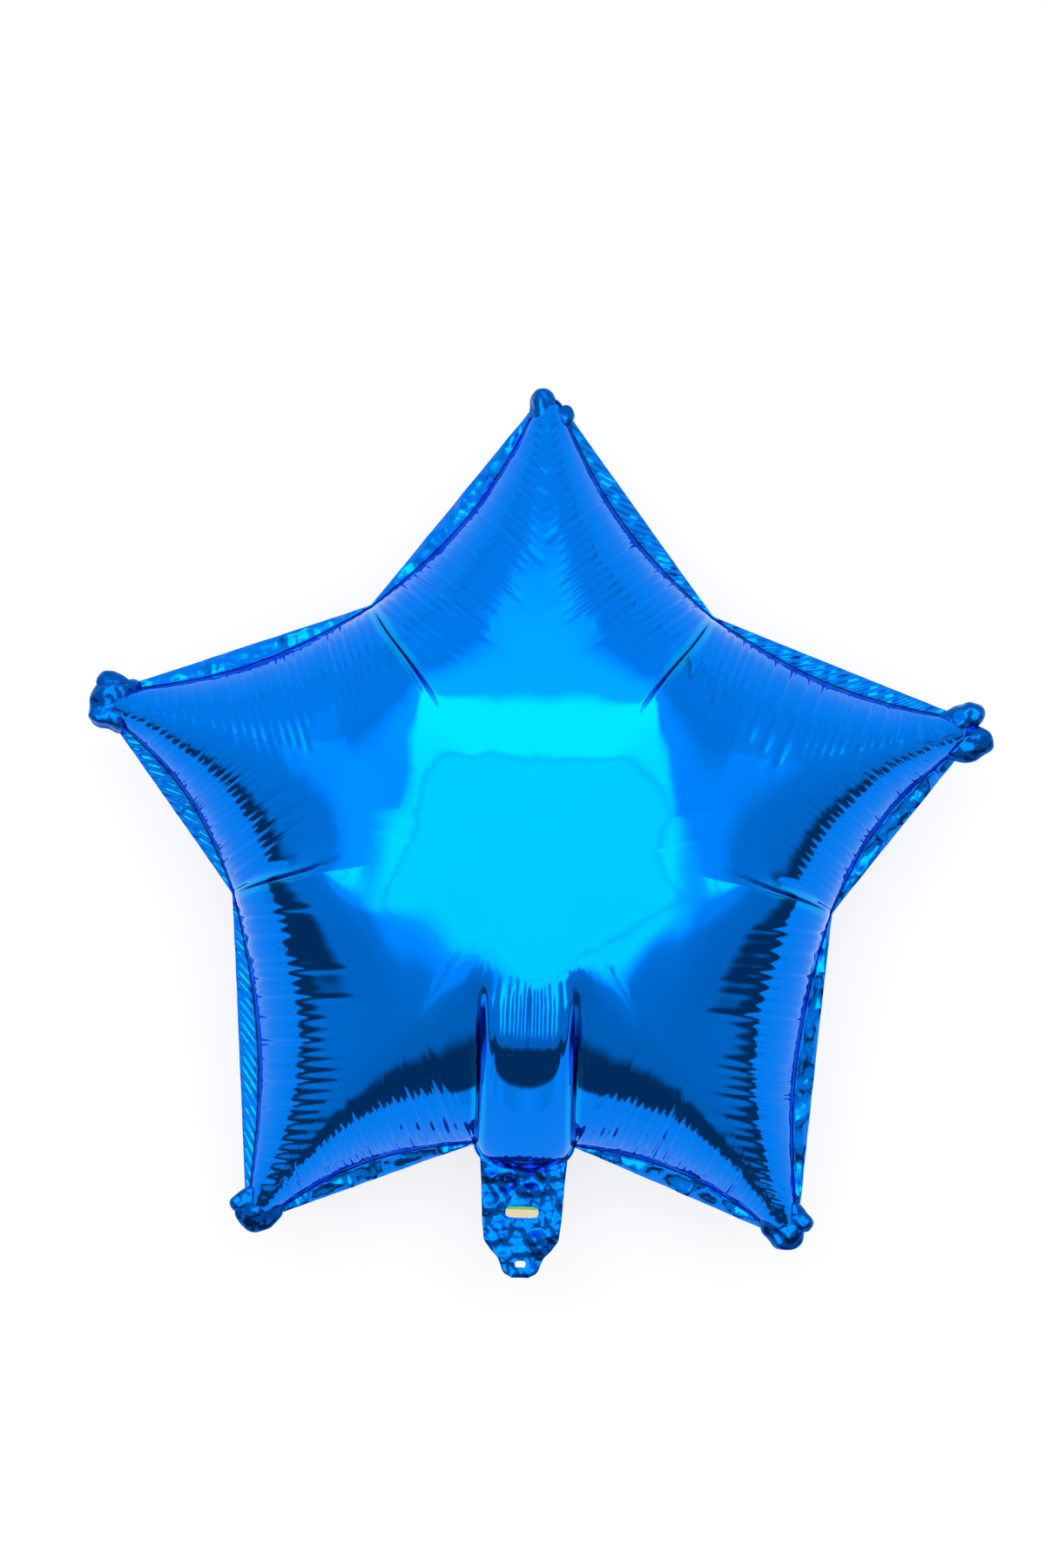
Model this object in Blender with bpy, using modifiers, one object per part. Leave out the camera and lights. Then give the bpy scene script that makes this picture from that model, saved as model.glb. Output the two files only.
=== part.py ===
"""Star foil balloon, inflated and lying on its back.

The front and back sheets meet in a flat sealed flange round a five-armed star. Each sheet is one
surface made of columns, which run from the seam inwards to the ridge of an arm or to the centre.
The tail leaves the neck at the bottom notch, and a strip of valve film shows in its fill slot.
"""

import math
from dataclasses import dataclass

import bmesh
import bpy
import numpy as np

# Star, seen from above, with the top arm along +Y and the tail along -Y (metres, and degrees from +X)
ARMS = 5
TIP_RADIUS = 0.2180
UPPER_NOTCH_RADIUS = 0.1390
UPPER_NOTCH_ANGLE = 55.0
SIDE_NOTCH_RADIUS = 0.1415
SIDE_NOTCH_ANGLE = -9.0
TIP_ROUND = 0.0060
TIP_COVER = 0.0102
NOTCH_ROUND = 0.0050
SEAM_BOW = 0.0080

# Depth of each inflated sheet above the flange
DOME_HEIGHT = 0.0700
DOME_POWER = 2.1
DOME_CORNER_POWER = 16.0
ROLL_POWER = 2.15
SMOOTH_START = 0.0720
SMOOTH_END = 0.0960
CREASE_POWER = 6
SLIDE_POWER = 4

# Sealed flange round the seam
FLANGE_THICKNESS = 0.0010
FLANGE_LIP = 0.0016

# Gathers across the rolled edges
PUCKER_PITCH = 0.0124
PUCKER_DEPTH = 0.0009
PUCKER_REACH = 0.0280

# Neck, which opens the notch between the two lower arms
NECK_HALF_WIDTH = 0.0225
NECK_TOP = 0.0500
NECK_NOTCH_Y = 0.1346
NECK_SEAL_Y = 0.1490
NECK_KNEE_X = 0.0290
NECK_KNEE_Y = 0.0500
NECK_ROLL_POWER = 1.5
NECK_FADE_POWER = 1.5
NECK_SMOOTH_START = 0.0580
NECK_SMOOTH_END = 0.0720

# Tail of flat film, measured from the neck's seal outwards
TAIL_THICKNESS = 0.0020
TAIL_HALF_WIDTH = 0.0185
TAIL_WAIST = 0.0070
TAIL_LENGTH = 0.0360
TAIL_OVERLAP = 0.0090
TAIL_ROUND = 0.0050
TAB_HALF_WIDTH = 0.0092
TAB_LENGTH = 0.0140

# Fill slot in the front film and the pocket behind it, above the tail's shoulder
SLOT_INSET = 0.0170
SLOT_WIDTH = 0.0160
SLOT_HEIGHT = 0.0058
SLOT_ROUND = 0.0020
POCKET_WIDTH = 0.0240
POCKET_HEIGHT = 0.0150
POCKET_DEPTH = 0.0011
POCKET_FLOOR = 0.0004

# Hole in the end tab, above the tab's end
HOLE_INSET = 0.0065
HOLE_WIDTH = 0.0050
HOLE_HEIGHT = 0.0032
HOLE_ROUND = 0.0014

# Valve film strip in the pocket
FILM_THICKNESS = 0.0004
CLEARANCE = 0.0003

# Folded film at each tip, clockwise from the top: half length, half width and half thickness
TIP_LOBES = (
    (0.0070, 0.0062, 0.0055),
    (0.0100, 0.0105, 0.0060),
    (0.0080, 0.0085, 0.0050),
    (0.0085, 0.0095, 0.0050),
    (0.0105, 0.0120, 0.0065),
)
LOBE_SIDES = 10
LOBE_RINGS = 6

# Flat spot that the balloon rests on
REST_DEPTH = 0.0010

# Columns and rows of the surface
FAN_COLUMNS = 4
TIP_COLUMNS = 3
NECK_COLUMNS = 7
ROWS = 7
ARC_POINTS = 4

FLANGE_HALF = FLANGE_THICKNESS / 2
REST_HEIGHT = DOME_HEIGHT + FLANGE_HALF - REST_DEPTH
ARM_STEP = 2 * math.pi / ARMS
PITCHES = round((TIP_RADIUS - UPPER_NOTCH_RADIUS) / math.cos(ARM_STEP / 2) ** 2 / PUCKER_PITCH)
LOBE_RADIUS = TIP_RADIUS - TIP_ROUND
RIDGE_END = TIP_RADIUS - TIP_COVER
SHOULDER_Y = -NECK_SEAL_Y - TAIL_LENGTH
TAB_END_Y = SHOULDER_Y - TAB_LENGTH
SLOT_Y = SHOULDER_Y + SLOT_INSET
HOLE_Y = TAB_END_Y + HOLE_INSET
TOP = math.pi / 2
BOTTOM = -math.pi / 2
MERGE = 1e-5
STEP = 1e-4

FOIL_BLUE = (0.0, 0.19, 0.83)
FOIL_ROUGHNESS = 0.12
FOIL_METALLIC = 1.0
FILM_BEIGE = (0.72, 0.60, 0.42)
FILM_ROUGHNESS = 0.45
FILM_METALLIC = 0.0


def unit(angle):
    """Direction in the plane at this angle from +X."""
    return np.array([math.cos(angle), math.sin(angle)])


def smooth_step(low, high, value):
    """0 below low, 1 above high and smooth between them."""
    share = np.clip((value - low) / (high - low), 0.0, 1.0)
    return share * share * (3 - 2 * share)


def dome(points):
    """Height of the smooth dome, level round rounded pentagons, that holds the centre and the ridges."""
    turns = TOP - ARM_STEP * np.arange(ARMS)
    along = np.maximum(points @ np.array([np.cos(turns), np.sin(turns)]) / TIP_RADIUS, 0.0)
    gauge = (along ** DOME_CORNER_POWER).sum(axis=-1) ** (1 / DOME_CORNER_POWER)
    return DOME_HEIGHT * (1 - np.minimum(gauge, 1.0) ** DOME_POWER)


def roll(share, power):
    """Share of the climb at a share of the way from the seam to the ridge."""
    return (1 - (1 - share) ** power) ** (1 / power)


def arc(centre, start, end, count):
    """Points on the short arc round a centre, from one point to another."""
    first, last = start - centre, end - centre
    turn = math.atan2(first[1], first[0])
    sweep = math.remainder(math.atan2(last[1], last[0]) - turn, 2 * math.pi)
    radius = np.linalg.norm(first)
    return np.array([centre + radius * unit(turn + sweep * share) for share in np.linspace(0, 1, count)])


@dataclass
class Columns:
    """Columns of half an arm or half the neck, on the star's +X side, from its notch to its tip.

    Each column is a curve from a seam point over two knees to an end on the ridge. It also has the
    flange's width at its seam point, the side that its gather goes to, the power of its roll, the radii
    between which the centre's dome takes over, and the share in which its height follows the arm's
    straight roll, given by a point on the edge, the edge's inward normal and the arm's axis. Last come
    the point where it meets the arm's other half, and how many columns it slides on its way there.
    """

    seam: np.ndarray
    end: np.ndarray
    knee: np.ndarray
    second_knee: np.ndarray
    width: np.ndarray
    wave: np.ndarray
    power: np.ndarray
    smooth: np.ndarray
    crease: np.ndarray
    edge_point: np.ndarray
    edge_normal: np.ndarray
    axis: np.ndarray
    meeting: np.ndarray
    slide: np.ndarray

    def picked(self, order):
        """The columns that a slice picks."""
        return Columns(*(getattr(self, name)[order] for name in self.__dataclass_fields__))

    def inwards(self):
        """All columns, tip first, without the tip and the notch, which the neighbours hold."""
        turned = self.picked(slice(-2, 0, -1))
        turned.slide = -turned.slide
        return turned


def joined(parts):
    """Several runs of columns as one."""
    names = Columns.__dataclass_fields__
    return Columns(*(np.concatenate([getattr(part, name) for part in parts]) for name in names))


def meet_on_ridge(first, second):
    """Gives the two halves of an arm the same points along its ridge."""
    reaches = [np.linalg.norm(half.end, axis=1) for half in (first, second)]
    shared = (reaches[0] + reaches[1]) / 2
    free = np.arange(len(shared) - TIP_COLUMNS)
    for half, reach in zip((first, second), reaches):
        half.slide[free] = np.interp(shared[free], reach[free], free) - free
        half.meeting = shared[:, None] * half.axis


def repeated(value, count):
    """The same value for every column."""
    return np.tile(value, (count, 1))


def pad_ends(middle):
    """Adds zeros for the fan at the notch and for the tip."""
    return np.concatenate([np.zeros(FAN_COLUMNS), middle, np.zeros(TIP_COLUMNS)])


def crease_between(notch, tip, next_tip):
    """A notch, the direction that halves it inwards, and the second knee of the crease's column."""
    away = [(point - notch) / np.linalg.norm(point - notch) for point in (tip, next_tip)]
    crease = -(away[0] + away[1]) / np.linalg.norm(away[0] + away[1])
    return notch, crease, (notch + crease * np.linalg.norm(notch) / 3) / 2


def half_arm(angle, notch, crease, knee, smooth):
    """Half of the arm at this angle, from this notch, whose crease leaves in this direction."""
    axis = unit(angle)
    corner = TIP_RADIUS * axis
    along = (corner - notch) / np.linalg.norm(corner - notch)
    fan_angle = math.acos(-crease @ along)
    fan_centre = notch - crease * NOTCH_ROUND / math.sin(fan_angle)
    start = notch + along * NOTCH_ROUND / math.tan(fan_angle)
    fan = arc(fan_centre, fan_centre + crease * NOTCH_ROUND, start, FAN_COLUMNS + 1)

    inward = np.array([along[1], -along[0]])
    inward *= -np.sign(inward @ axis)
    sharpness = math.acos(along @ axis)
    tip_centre = corner - axis * TIP_ROUND / math.sin(sharpness)
    end = corner - along * TIP_ROUND / math.tan(sharpness)
    tip = arc(tip_centre, end, tip_centre + TIP_ROUND * axis, TIP_COLUMNS + 1)

    steps = np.linspace(0, 1, 2 * PITCHES + 1)
    bow = SEAM_BOW * np.sin(math.pi * steps)
    edge = start + np.outer(steps, end - start) + np.outer(bow, inward)
    across = np.array([-axis[1], axis[0]])
    foot = (start - inward * (start @ across) / (inward @ across)) @ axis
    fan_steps = np.linspace(0, 1, FAN_COLUMNS + 1)
    ridge = np.concatenate([
        foot * fan_steps,
        foot + (RIDGE_END - foot) * steps[1:],
        np.full(TIP_COLUMNS, RIDGE_END),
    ])
    seam = np.vstack([fan, edge[1:], tip[1:]])
    ends = np.outer(ridge, axis)
    count = len(seam)

    straight = ends - seam
    first, second = seam + straight / 3, seam + straight * 2 / 3
    turn = math.atan2(crease[1], crease[0])
    sweep = math.remainder(math.atan2(inward[1], inward[0]) - turn, 2 * math.pi)
    turned = np.array([unit(turn + sweep * step) for step in fan_steps])
    fan_range = slice(0, FAN_COLUMNS + 1)
    reach = np.linalg.norm(straight[fan_range], axis=1)[:, None] / 3
    first[fan_range] = seam[fan_range] + reach * turned
    second[fan_range] += np.outer(1 - fan_steps, knee - second[0])

    creased = np.zeros(count)
    creased[fan_range] = 1 - fan_steps ** CREASE_POWER
    wave = pad_ends((-1.0) ** np.arange(len(steps)))
    return Columns(seam, ends, first, second, FLANGE_LIP + pad_ends(bow), wave, np.full(count, ROLL_POWER),
                   repeated(smooth, count), creased, repeated(start, count), repeated(inward, count),
                   repeated(axis, count), ends, np.zeros(count))


def half_neck(start, crease, knee, smooth):
    """Half the neck, from the seam point at its notch round to the bottom of the seal."""
    steps = np.linspace(0, 1, NECK_COLUMNS + 1)
    turns = steps * math.pi / 2
    depth = -NECK_SEAL_Y - start[1]
    seam = np.column_stack([start[0] * np.cos(turns), start[1] + depth * np.sin(turns)])
    ends = np.outer(NECK_TOP * steps, unit(BOTTOM))
    count = len(seam)
    straight = ends - seam
    first, second = seam + straight / 3, seam + straight * 2 / 3
    reach = np.linalg.norm(straight, axis=1)[:, None] / 3
    fade = (1 - steps[:, None]) ** NECK_FADE_POWER
    first += fade * (seam + reach * crease - first)
    second += fade * (knee - second[0])
    power = ROLL_POWER + (NECK_ROLL_POWER - ROLL_POWER) * smooth_step(0, 0.5, steps)
    plain = np.zeros(count)
    return Columns(seam, ends, first, second, np.full(count, FLANGE_LIP), plain, power,
                   repeated(smooth, count), plain, seam, repeated(unit(0), count),
                   repeated(unit(BOTTOM), count), ends, plain)


def star_columns():
    """Columns of the +X half of a sheet, clockwise from the top tip to the bottom of the seal."""
    upper = UPPER_NOTCH_RADIUS * unit(math.radians(UPPER_NOTCH_ANGLE))
    side = SIDE_NOTCH_RADIUS * unit(math.radians(SIDE_NOTCH_ANGLE))
    angles = [TOP - ARM_STEP * arm for arm in range(3)]
    tips = [TIP_RADIUS * unit(angle) for angle in angles]
    smooth = (SMOOTH_START, SMOOTH_END)
    neck_smooth = (NECK_SMOOTH_START, NECK_SMOOTH_END)
    upper_crease = crease_between(upper, tips[0], tips[1])
    side_crease = crease_between(side, tips[1], tips[2])
    neck_notch = np.array([NECK_HALF_WIDTH, -NECK_NOTCH_Y])
    neck_crease = (neck_notch, unit(TOP), np.array([NECK_KNEE_X, -NECK_KNEE_Y]))
    top_half = half_arm(angles[0], *upper_crease, smooth)
    upper_half = half_arm(angles[1], *upper_crease, smooth)
    lower_half = half_arm(angles[1], *side_crease, smooth)
    outer_half = half_arm(angles[2], *side_crease, smooth)
    inner_half = half_arm(angles[2], *neck_crease, neck_smooth)
    meet_on_ridge(upper_half, lower_half)
    meet_on_ridge(outer_half, inner_half)
    return joined([
        top_half.picked(slice(None, 0, -1)),
        upper_half,
        lower_half.inwards(),
        outer_half,
        inner_half.inwards(),
        half_neck(inner_half.seam[0], *neck_crease[1:], neck_smooth),
    ])


def straight_roll(columns, plan):
    """Height near a notch, where each arm's roll runs straight on until it meets the next one's."""
    normal, axis = columns.edge_normal, columns.axis
    across = np.column_stack([-axis[:, 1], axis[:, 0]])
    behind = ((plan - columns.edge_point) * normal).sum(axis=1)
    ahead = -(plan * across).sum(axis=1) / (normal * across).sum(axis=1)
    ridge = ((plan + ahead[:, None] * normal) * axis).sum(axis=1)[:, None] * axis
    length = np.maximum(behind + ahead, STEP)
    share = np.clip(behind / length, 0, 1)
    top = dome(ridge)
    climb = (top - dome(ridge - STEP * normal)) / STEP * length
    return (top - climb) * roll(share, columns.power) + climb * share


def sheet_grid():
    """Points of a quarter of the body on a grid: one line for each column, from the rim to the ridge."""
    columns = star_columns()
    seam, end = columns.seam, columns.end
    flip = np.array([-1.0, 1.0])
    around = np.vstack([seam[1] * flip, seam, seam[-2] * flip])
    tangent = around[2:] - around[:-2]
    tangent /= np.linalg.norm(tangent, axis=1)[:, None]
    outward = np.column_stack([-tangent[:, 1], tangent[:, 0]])
    rim = seam + outward * columns.width[:, None]

    to_end = end - columns.second_knee
    to_end /= np.linalg.norm(to_end, axis=1)[:, None]
    length = np.linalg.norm(end - seam, axis=1)
    top = dome(end)
    climb = (top - dome(end - STEP * to_end)) / STEP * length
    rows = []
    turns = np.linspace(0, math.pi / 2, ROWS + 1)[1:]
    shares = 1 - np.cos(turns)
    for turn, share in zip(turns, shares):
        left = 1 - share
        plan = (left ** 3 * seam + 3 * left ** 2 * share * columns.knee
                + 3 * left * share ** 2 * columns.second_knee + share ** 3 * end)
        height = (top - climb) * roll(share, columns.power) + climb * share
        height += columns.crease * (straight_roll(columns, plan) - height)
        radius = np.linalg.norm(plan, axis=1)
        centre = 1 - smooth_step(columns.smooth[:, 0], columns.smooth[:, 1], radius)
        height += centre * (dome(plan) - height)
        fade = left * np.clip(1 - share * length / PUCKER_REACH, 0, 1)
        gather = PUCKER_DEPTH * columns.wave * fade
        plan = plan + outward * (gather * math.cos(turn))[:, None]
        height += FLANGE_HALF + gather * math.sin(turn)
        rows.append(np.column_stack([plan, height]))

    surface = np.stack(rows, axis=1)
    place = np.arange(len(seam))[:, None] + np.outer(columns.slide, shares ** SLIDE_POWER)
    low = np.minimum(place.astype(int), len(seam) - 2)
    part = (place - low)[..., None]
    row = np.arange(ROWS)
    surface = (1 - part) * surface[low, row] + part * surface[low + 1, row]
    surface[:, -1] = np.column_stack([columns.meeting, dome(columns.meeting) + FLANGE_HALF])
    flange = np.stack([
        np.column_stack([rim, np.zeros(len(rim))]),
        np.column_stack([rim, np.full(len(rim), FLANGE_HALF)]),
        np.column_stack([seam, np.full(len(seam), FLANGE_HALF)]),
    ], axis=1)
    return np.concatenate([flange, surface], axis=1)


def mesh_object(name, collection, mesh):
    """A new object in a collection."""
    made = bpy.data.objects.new(name, mesh)
    collection.objects.link(made)
    return made


def loft(name, grid):
    """A mesh of four-sided faces over a grid of points."""
    shaped = bmesh.new()
    lines = [[shaped.verts.new(point) for point in line] for line in grid]
    for line, following in zip(lines, lines[1:]):
        for row in range(len(line) - 1):
            shaped.faces.new((line[row], line[row + 1], following[row + 1], following[row]))
    bmesh.ops.remove_doubles(shaped, verts=shaped.verts, dist=MERGE)
    mesh = bpy.data.meshes.new(name)
    shaped.to_mesh(mesh)
    shaped.free()
    mesh.shade_smooth()
    return mesh


def rounded_outline(corners, radii):
    """Points of a closed outline whose corners are rounded by arcs."""
    points = []
    for index, corner in enumerate(corners):
        before, after = corners[index - 1], corners[(index + 1) % len(corners)]
        back = (before - corner) / np.linalg.norm(before - corner)
        ahead = (after - corner) / np.linalg.norm(after - corner)
        half = math.acos(np.clip(back @ ahead, -1, 1)) / 2
        reach = radii[index] / math.tan(half)
        middle = (back + ahead) / np.linalg.norm(back + ahead)
        centre = corner + middle * radii[index] / math.sin(half)
        points.extend(arc(centre, corner + back * reach, corner + ahead * reach, ARC_POINTS))
    return points


def plate(name, collection, outline, bottom, top):
    """A flat plate between two heights, from a filled curve."""
    curve = bpy.data.curves.new(name, "CURVE")
    curve.dimensions = "2D"
    curve.fill_mode = "BOTH"
    curve.extrude = (top - bottom) / 2
    spline = curve.splines.new("POLY")
    spline.points.add(len(outline) - 1)
    for point, place in zip(spline.points, outline):
        point.co = (place[0], place[1], 0.0, 1.0)
    spline.use_cyclic_u = True
    drawn = mesh_object(name, collection, curve)
    graph = bpy.context.evaluated_depsgraph_get()
    mesh = bpy.data.meshes.new_from_object(drawn.evaluated_get(graph))
    bpy.data.objects.remove(drawn)
    welded = bmesh.new()
    welded.from_mesh(mesh)
    bmesh.ops.remove_doubles(welded, verts=welded.verts, dist=MERGE)
    bmesh.ops.recalc_face_normals(welded, faces=welded.faces)
    welded.to_mesh(mesh)
    welded.free()
    made = mesh_object(name, collection, mesh)
    made.location.z = (top + bottom) / 2
    return made


def rounded_box(name, collection, size, y, radius, bottom, top):
    """An upright block with a rounded rectangular outline, centred on the tail's line."""
    half = np.array(size) / 2
    corners = [np.array([x * half[0], y + s * half[1]]) for x, s in ((1, 1), (-1, 1), (-1, -1), (1, -1))]
    return plate(name, collection, rounded_outline(corners, [radius] * 4), bottom, top)


def tail_outline():
    """Outline of the tail, with the end tab."""
    right = [
        (NECK_HALF_WIDTH - TAIL_THICKNESS, TAIL_OVERLAP - NECK_SEAL_Y),
        (TAIL_HALF_WIDTH, -NECK_SEAL_Y - TAIL_WAIST),
        (TAIL_HALF_WIDTH, SHOULDER_Y),
        (TAB_HALF_WIDTH, SHOULDER_Y - TAIL_ROUND),
        (TAB_HALF_WIDTH, TAB_END_Y),
    ]
    rounds = [TAIL_THICKNESS, TAIL_ROUND, TAIL_ROUND, TAIL_THICKNESS, TAIL_ROUND]
    corners = [np.array(point) for point in right]
    corners += [np.array([-x, y]) for x, y in reversed(right)]
    return rounded_outline(corners, rounds + rounds[::-1])


def tip_lobe(name, collection, angle, sizes):
    """Folded film at a tip, as a flattened ball along the arm."""
    shaped = bmesh.new()
    bmesh.ops.create_uvsphere(shaped, u_segments=LOBE_SIDES, v_segments=LOBE_RINGS, radius=1.0)
    bmesh.ops.scale(shaped, vec=sizes, verts=shaped.verts)
    mesh = bpy.data.meshes.new(name)
    shaped.to_mesh(mesh)
    shaped.free()
    mesh.shade_smooth()
    made = mesh_object(name, collection, mesh)
    made.location = (*(LOBE_RADIUS * unit(angle)), 0.0)
    made.rotation_euler.z = angle
    return made


def rest_spot(collection):
    """The block that cuts the flat spot into the back."""
    block = bmesh.new()
    bmesh.ops.create_cube(block, size=TIP_RADIUS)
    mesh = bpy.data.meshes.new("rest_spot")
    block.to_mesh(mesh)
    block.free()
    made = mesh_object("rest_spot", collection, mesh)
    made.location.z = -REST_HEIGHT - TIP_RADIUS / 2
    return made


def boolean(target, operation, other):
    """Joins another mesh to the target or cuts it away."""
    other.hide_render = True
    other.display_type = "WIRE"
    modifier = target.modifiers.new(other.name, "BOOLEAN")
    modifier.operation = operation
    modifier.solver = "EXACT"
    modifier.object = other


def material(name, colour, roughness, metallic):
    """A Principled BSDF finish."""
    made = bpy.data.materials.new(name)
    made.use_nodes = True
    shader = made.node_tree.nodes["Principled BSDF"]
    shader.inputs["Base Color"].default_value = (*colour, 1.0)
    shader.inputs["Roughness"].default_value = roughness
    shader.inputs["Metallic"].default_value = metallic
    made.diffuse_color = (*colour, 1.0)
    return made


def build_envelope(parts, cutters, middle):
    """Front and back sheets, flange, tail and folded tips as one body."""
    envelope = mesh_object("foil_envelope", parts, loft("foil_envelope", sheet_grid()))
    mirror = envelope.modifiers.new("other_quarters", "MIRROR")
    mirror.use_axis = (True, False, True)
    mirror.merge_threshold = MERGE
    half_tail = TAIL_THICKNESS / 2
    boolean(envelope, "UNION", plate("tail", cutters, tail_outline(), -half_tail, half_tail))
    for index, sizes in enumerate(TIP_LOBES):
        angle = TOP - ARM_STEP * index
        boolean(envelope, "UNION", tip_lobe(f"tip_lobe_{index + 1}", cutters, angle, sizes))

    floor = -half_tail + POCKET_FLOOR
    ceiling = floor + POCKET_DEPTH
    pocket = rounded_box("pocket", cutters, (POCKET_WIDTH, POCKET_HEIGHT), SLOT_Y, SLOT_ROUND, floor, ceiling)
    slot = rounded_box("slot", cutters, (SLOT_WIDTH, SLOT_HEIGHT), SLOT_Y, SLOT_ROUND,
                       ceiling - CLEARANCE, half_tail + CLEARANCE)
    hole = rounded_box("end_hole", cutters, (HOLE_WIDTH, HOLE_HEIGHT), HOLE_Y, HOLE_ROUND,
                       -TAIL_THICKNESS, TAIL_THICKNESS)
    for cutter in (pocket, slot, hole, rest_spot(cutters)):
        boolean(envelope, "DIFFERENCE", cutter)
    for piece in (envelope, *cutters.objects):
        piece.parent = middle
    envelope.data.materials.append(material("blue_foil", FOIL_BLUE, FOIL_ROUGHNESS, FOIL_METALLIC))
    return envelope


def build_film(parts, middle):
    """Strip of valve film lying in the pocket behind the fill slot."""
    size = (POCKET_WIDTH - 2 * CLEARANCE, POCKET_HEIGHT - 2 * CLEARANCE)
    bottom = -TAIL_THICKNESS / 2 + POCKET_FLOOR + CLEARANCE
    film = rounded_box("valve_film", parts, size, SLOT_Y, SLOT_ROUND - CLEARANCE,
                       bottom, bottom + FILM_THICKNESS)
    film.parent = middle
    film.data.materials.append(material("beige_film", FILM_BEIGE, FILM_ROUGHNESS, FILM_METALLIC))
    return film


def main():
    """Builds the balloon with the flat spot of its back at the origin."""
    for leftover in list(bpy.data.objects):
        bpy.data.objects.remove(leftover)
    scene = bpy.context.scene
    parts = bpy.data.collections.new("star_foil_balloon")
    cutters = bpy.data.collections.new("cutters")
    scene.collection.children.link(parts)
    scene.collection.children.link(cutters)
    middle = bpy.data.objects.new("flange_plane", None)
    middle.location.z = REST_HEIGHT
    parts.objects.link(middle)
    build_envelope(parts, cutters, middle)
    build_film(parts, middle)


main()
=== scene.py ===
"""Looks of a star foil balloon that lies on its back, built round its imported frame."""

import logging
import math
from dataclasses import dataclass, field, replace
from enum import Enum

import bmesh
import bpy
import numpy as np
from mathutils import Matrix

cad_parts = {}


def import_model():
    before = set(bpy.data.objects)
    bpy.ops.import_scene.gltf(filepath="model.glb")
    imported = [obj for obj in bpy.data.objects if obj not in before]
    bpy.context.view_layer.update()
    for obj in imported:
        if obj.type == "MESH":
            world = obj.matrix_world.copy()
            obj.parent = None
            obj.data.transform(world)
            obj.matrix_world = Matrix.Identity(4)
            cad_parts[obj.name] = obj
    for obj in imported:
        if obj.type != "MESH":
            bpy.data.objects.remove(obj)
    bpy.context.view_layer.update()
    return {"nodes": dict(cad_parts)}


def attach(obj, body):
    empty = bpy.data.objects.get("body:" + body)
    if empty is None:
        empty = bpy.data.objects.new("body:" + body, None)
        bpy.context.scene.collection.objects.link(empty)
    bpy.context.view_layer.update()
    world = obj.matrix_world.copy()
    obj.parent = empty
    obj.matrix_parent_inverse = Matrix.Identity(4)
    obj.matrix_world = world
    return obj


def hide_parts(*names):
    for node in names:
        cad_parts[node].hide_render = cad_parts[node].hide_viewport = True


LOG = logging.getLogger("star_balloon")
ENVELOPE = "foil_envelope"
FILM = "valve_film"
UP = math.pi / 2
DOWN = -math.pi / 2
REST_HEIGHT = 0.0695
MERGE = 1e-6
NECK_EDGE = 20
UPWARD = 90
SPARE_DRAWS = 3


@dataclass(frozen=True)
class Seeds:
    """Starts of the random numbers, so that every build draws the same film."""

    edge: int = 100
    ripple: int = 7
    front: int = 11
    back: int = 23
    flange: int = 31
    tip: int = 40
    tip_step: int = 10
    tail: int = 71


SEEDS = Seeds()


def unit(angle: float) -> np.ndarray:
    """Direction in the plane at an angle from +X."""
    return np.array([math.cos(angle), math.sin(angle)])


def smooth_step(low: float, high: float, value: np.ndarray) -> np.ndarray:
    """A share that is 0 below low, 1 above high, and follows 3t^2 - 2t^3 between them."""
    share = np.clip((value - low) / (high - low), 0.0, 1.0)
    return share * share * (3 - 2 * share)


def arc(centre: np.ndarray, start: np.ndarray, end: np.ndarray, shares: np.ndarray) -> np.ndarray:
    """Points on the short arc round a centre.

    Args:
        centre: Middle of the circle.
        start: First point.
        end: Last point.
        shares: Share of the way of each point.

    Returns:
        The points, as centre plus a radius that turns from start to end.
    """
    first, last = start - centre, end - centre
    turn = math.atan2(first[1], first[0])
    sweep = math.remainder(math.atan2(last[1], last[0]) - turn, 2 * math.pi)
    turns = turn + sweep * shares
    return centre + np.linalg.norm(first) * np.column_stack([np.cos(turns), np.sin(turns)])


@dataclass(frozen=True)
class StarPlan:
    """Sizes of the inflated star in plan, in metres and degrees, about its centre."""

    arms: int = 5
    tip_radius: float = 0.2180
    tip_round: float = 0.0060
    tip_cover: float = 0.0102
    upper_notch: tuple[float, float] = (0.1390, 55.0)
    side_notch: tuple[float, float] = (0.1415, -9.0)
    neck_notch: tuple[float, float] = (0.0225, -0.1346)
    neck_knees: tuple[tuple[float, float], ...] = ((0.0255, -0.0560), (-0.0335, -0.0560))
    neck_seal: float = -0.1490
    neck_top: float = 0.0660
    neck_fade: float = 1.5
    neck_tolerance: float = 1.01
    notch_round: float = 0.0050
    seam_bow: float = 0.0080

    def at_neck(self, x: float) -> bool:
        """True this near the middle line, where the only notches are the neck's."""
        return bool(abs(x) < self.neck_tolerance * self.neck_notch[0])


@dataclass(frozen=True)
class GridCounts:
    """Columns along each stretch of the seam, and rows from the seam to the ridge.

    The fine rows take up edge_share of the quarter turn from the seam. The columns of a fan crowd
    towards the crease by share^fan_crowding.
    """

    fan: int = 16
    puckers: int = 30
    pucker_columns: int = 5
    tip: int = 6
    neck: int = 48
    flange_rows: int = 4
    edge_rows: int = 36
    inner_rows: int = 6
    back_rows: int = 16
    edge_share: float = 0.85
    fan_crowding: float = 1.7
    edge_gap: int = 6

    def first_gather(self, edge: int) -> int:
        """Number of gathers counted before an edge, with a gap so that no two edges share one."""
        return edge * (self.puckers + self.edge_gap)


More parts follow.
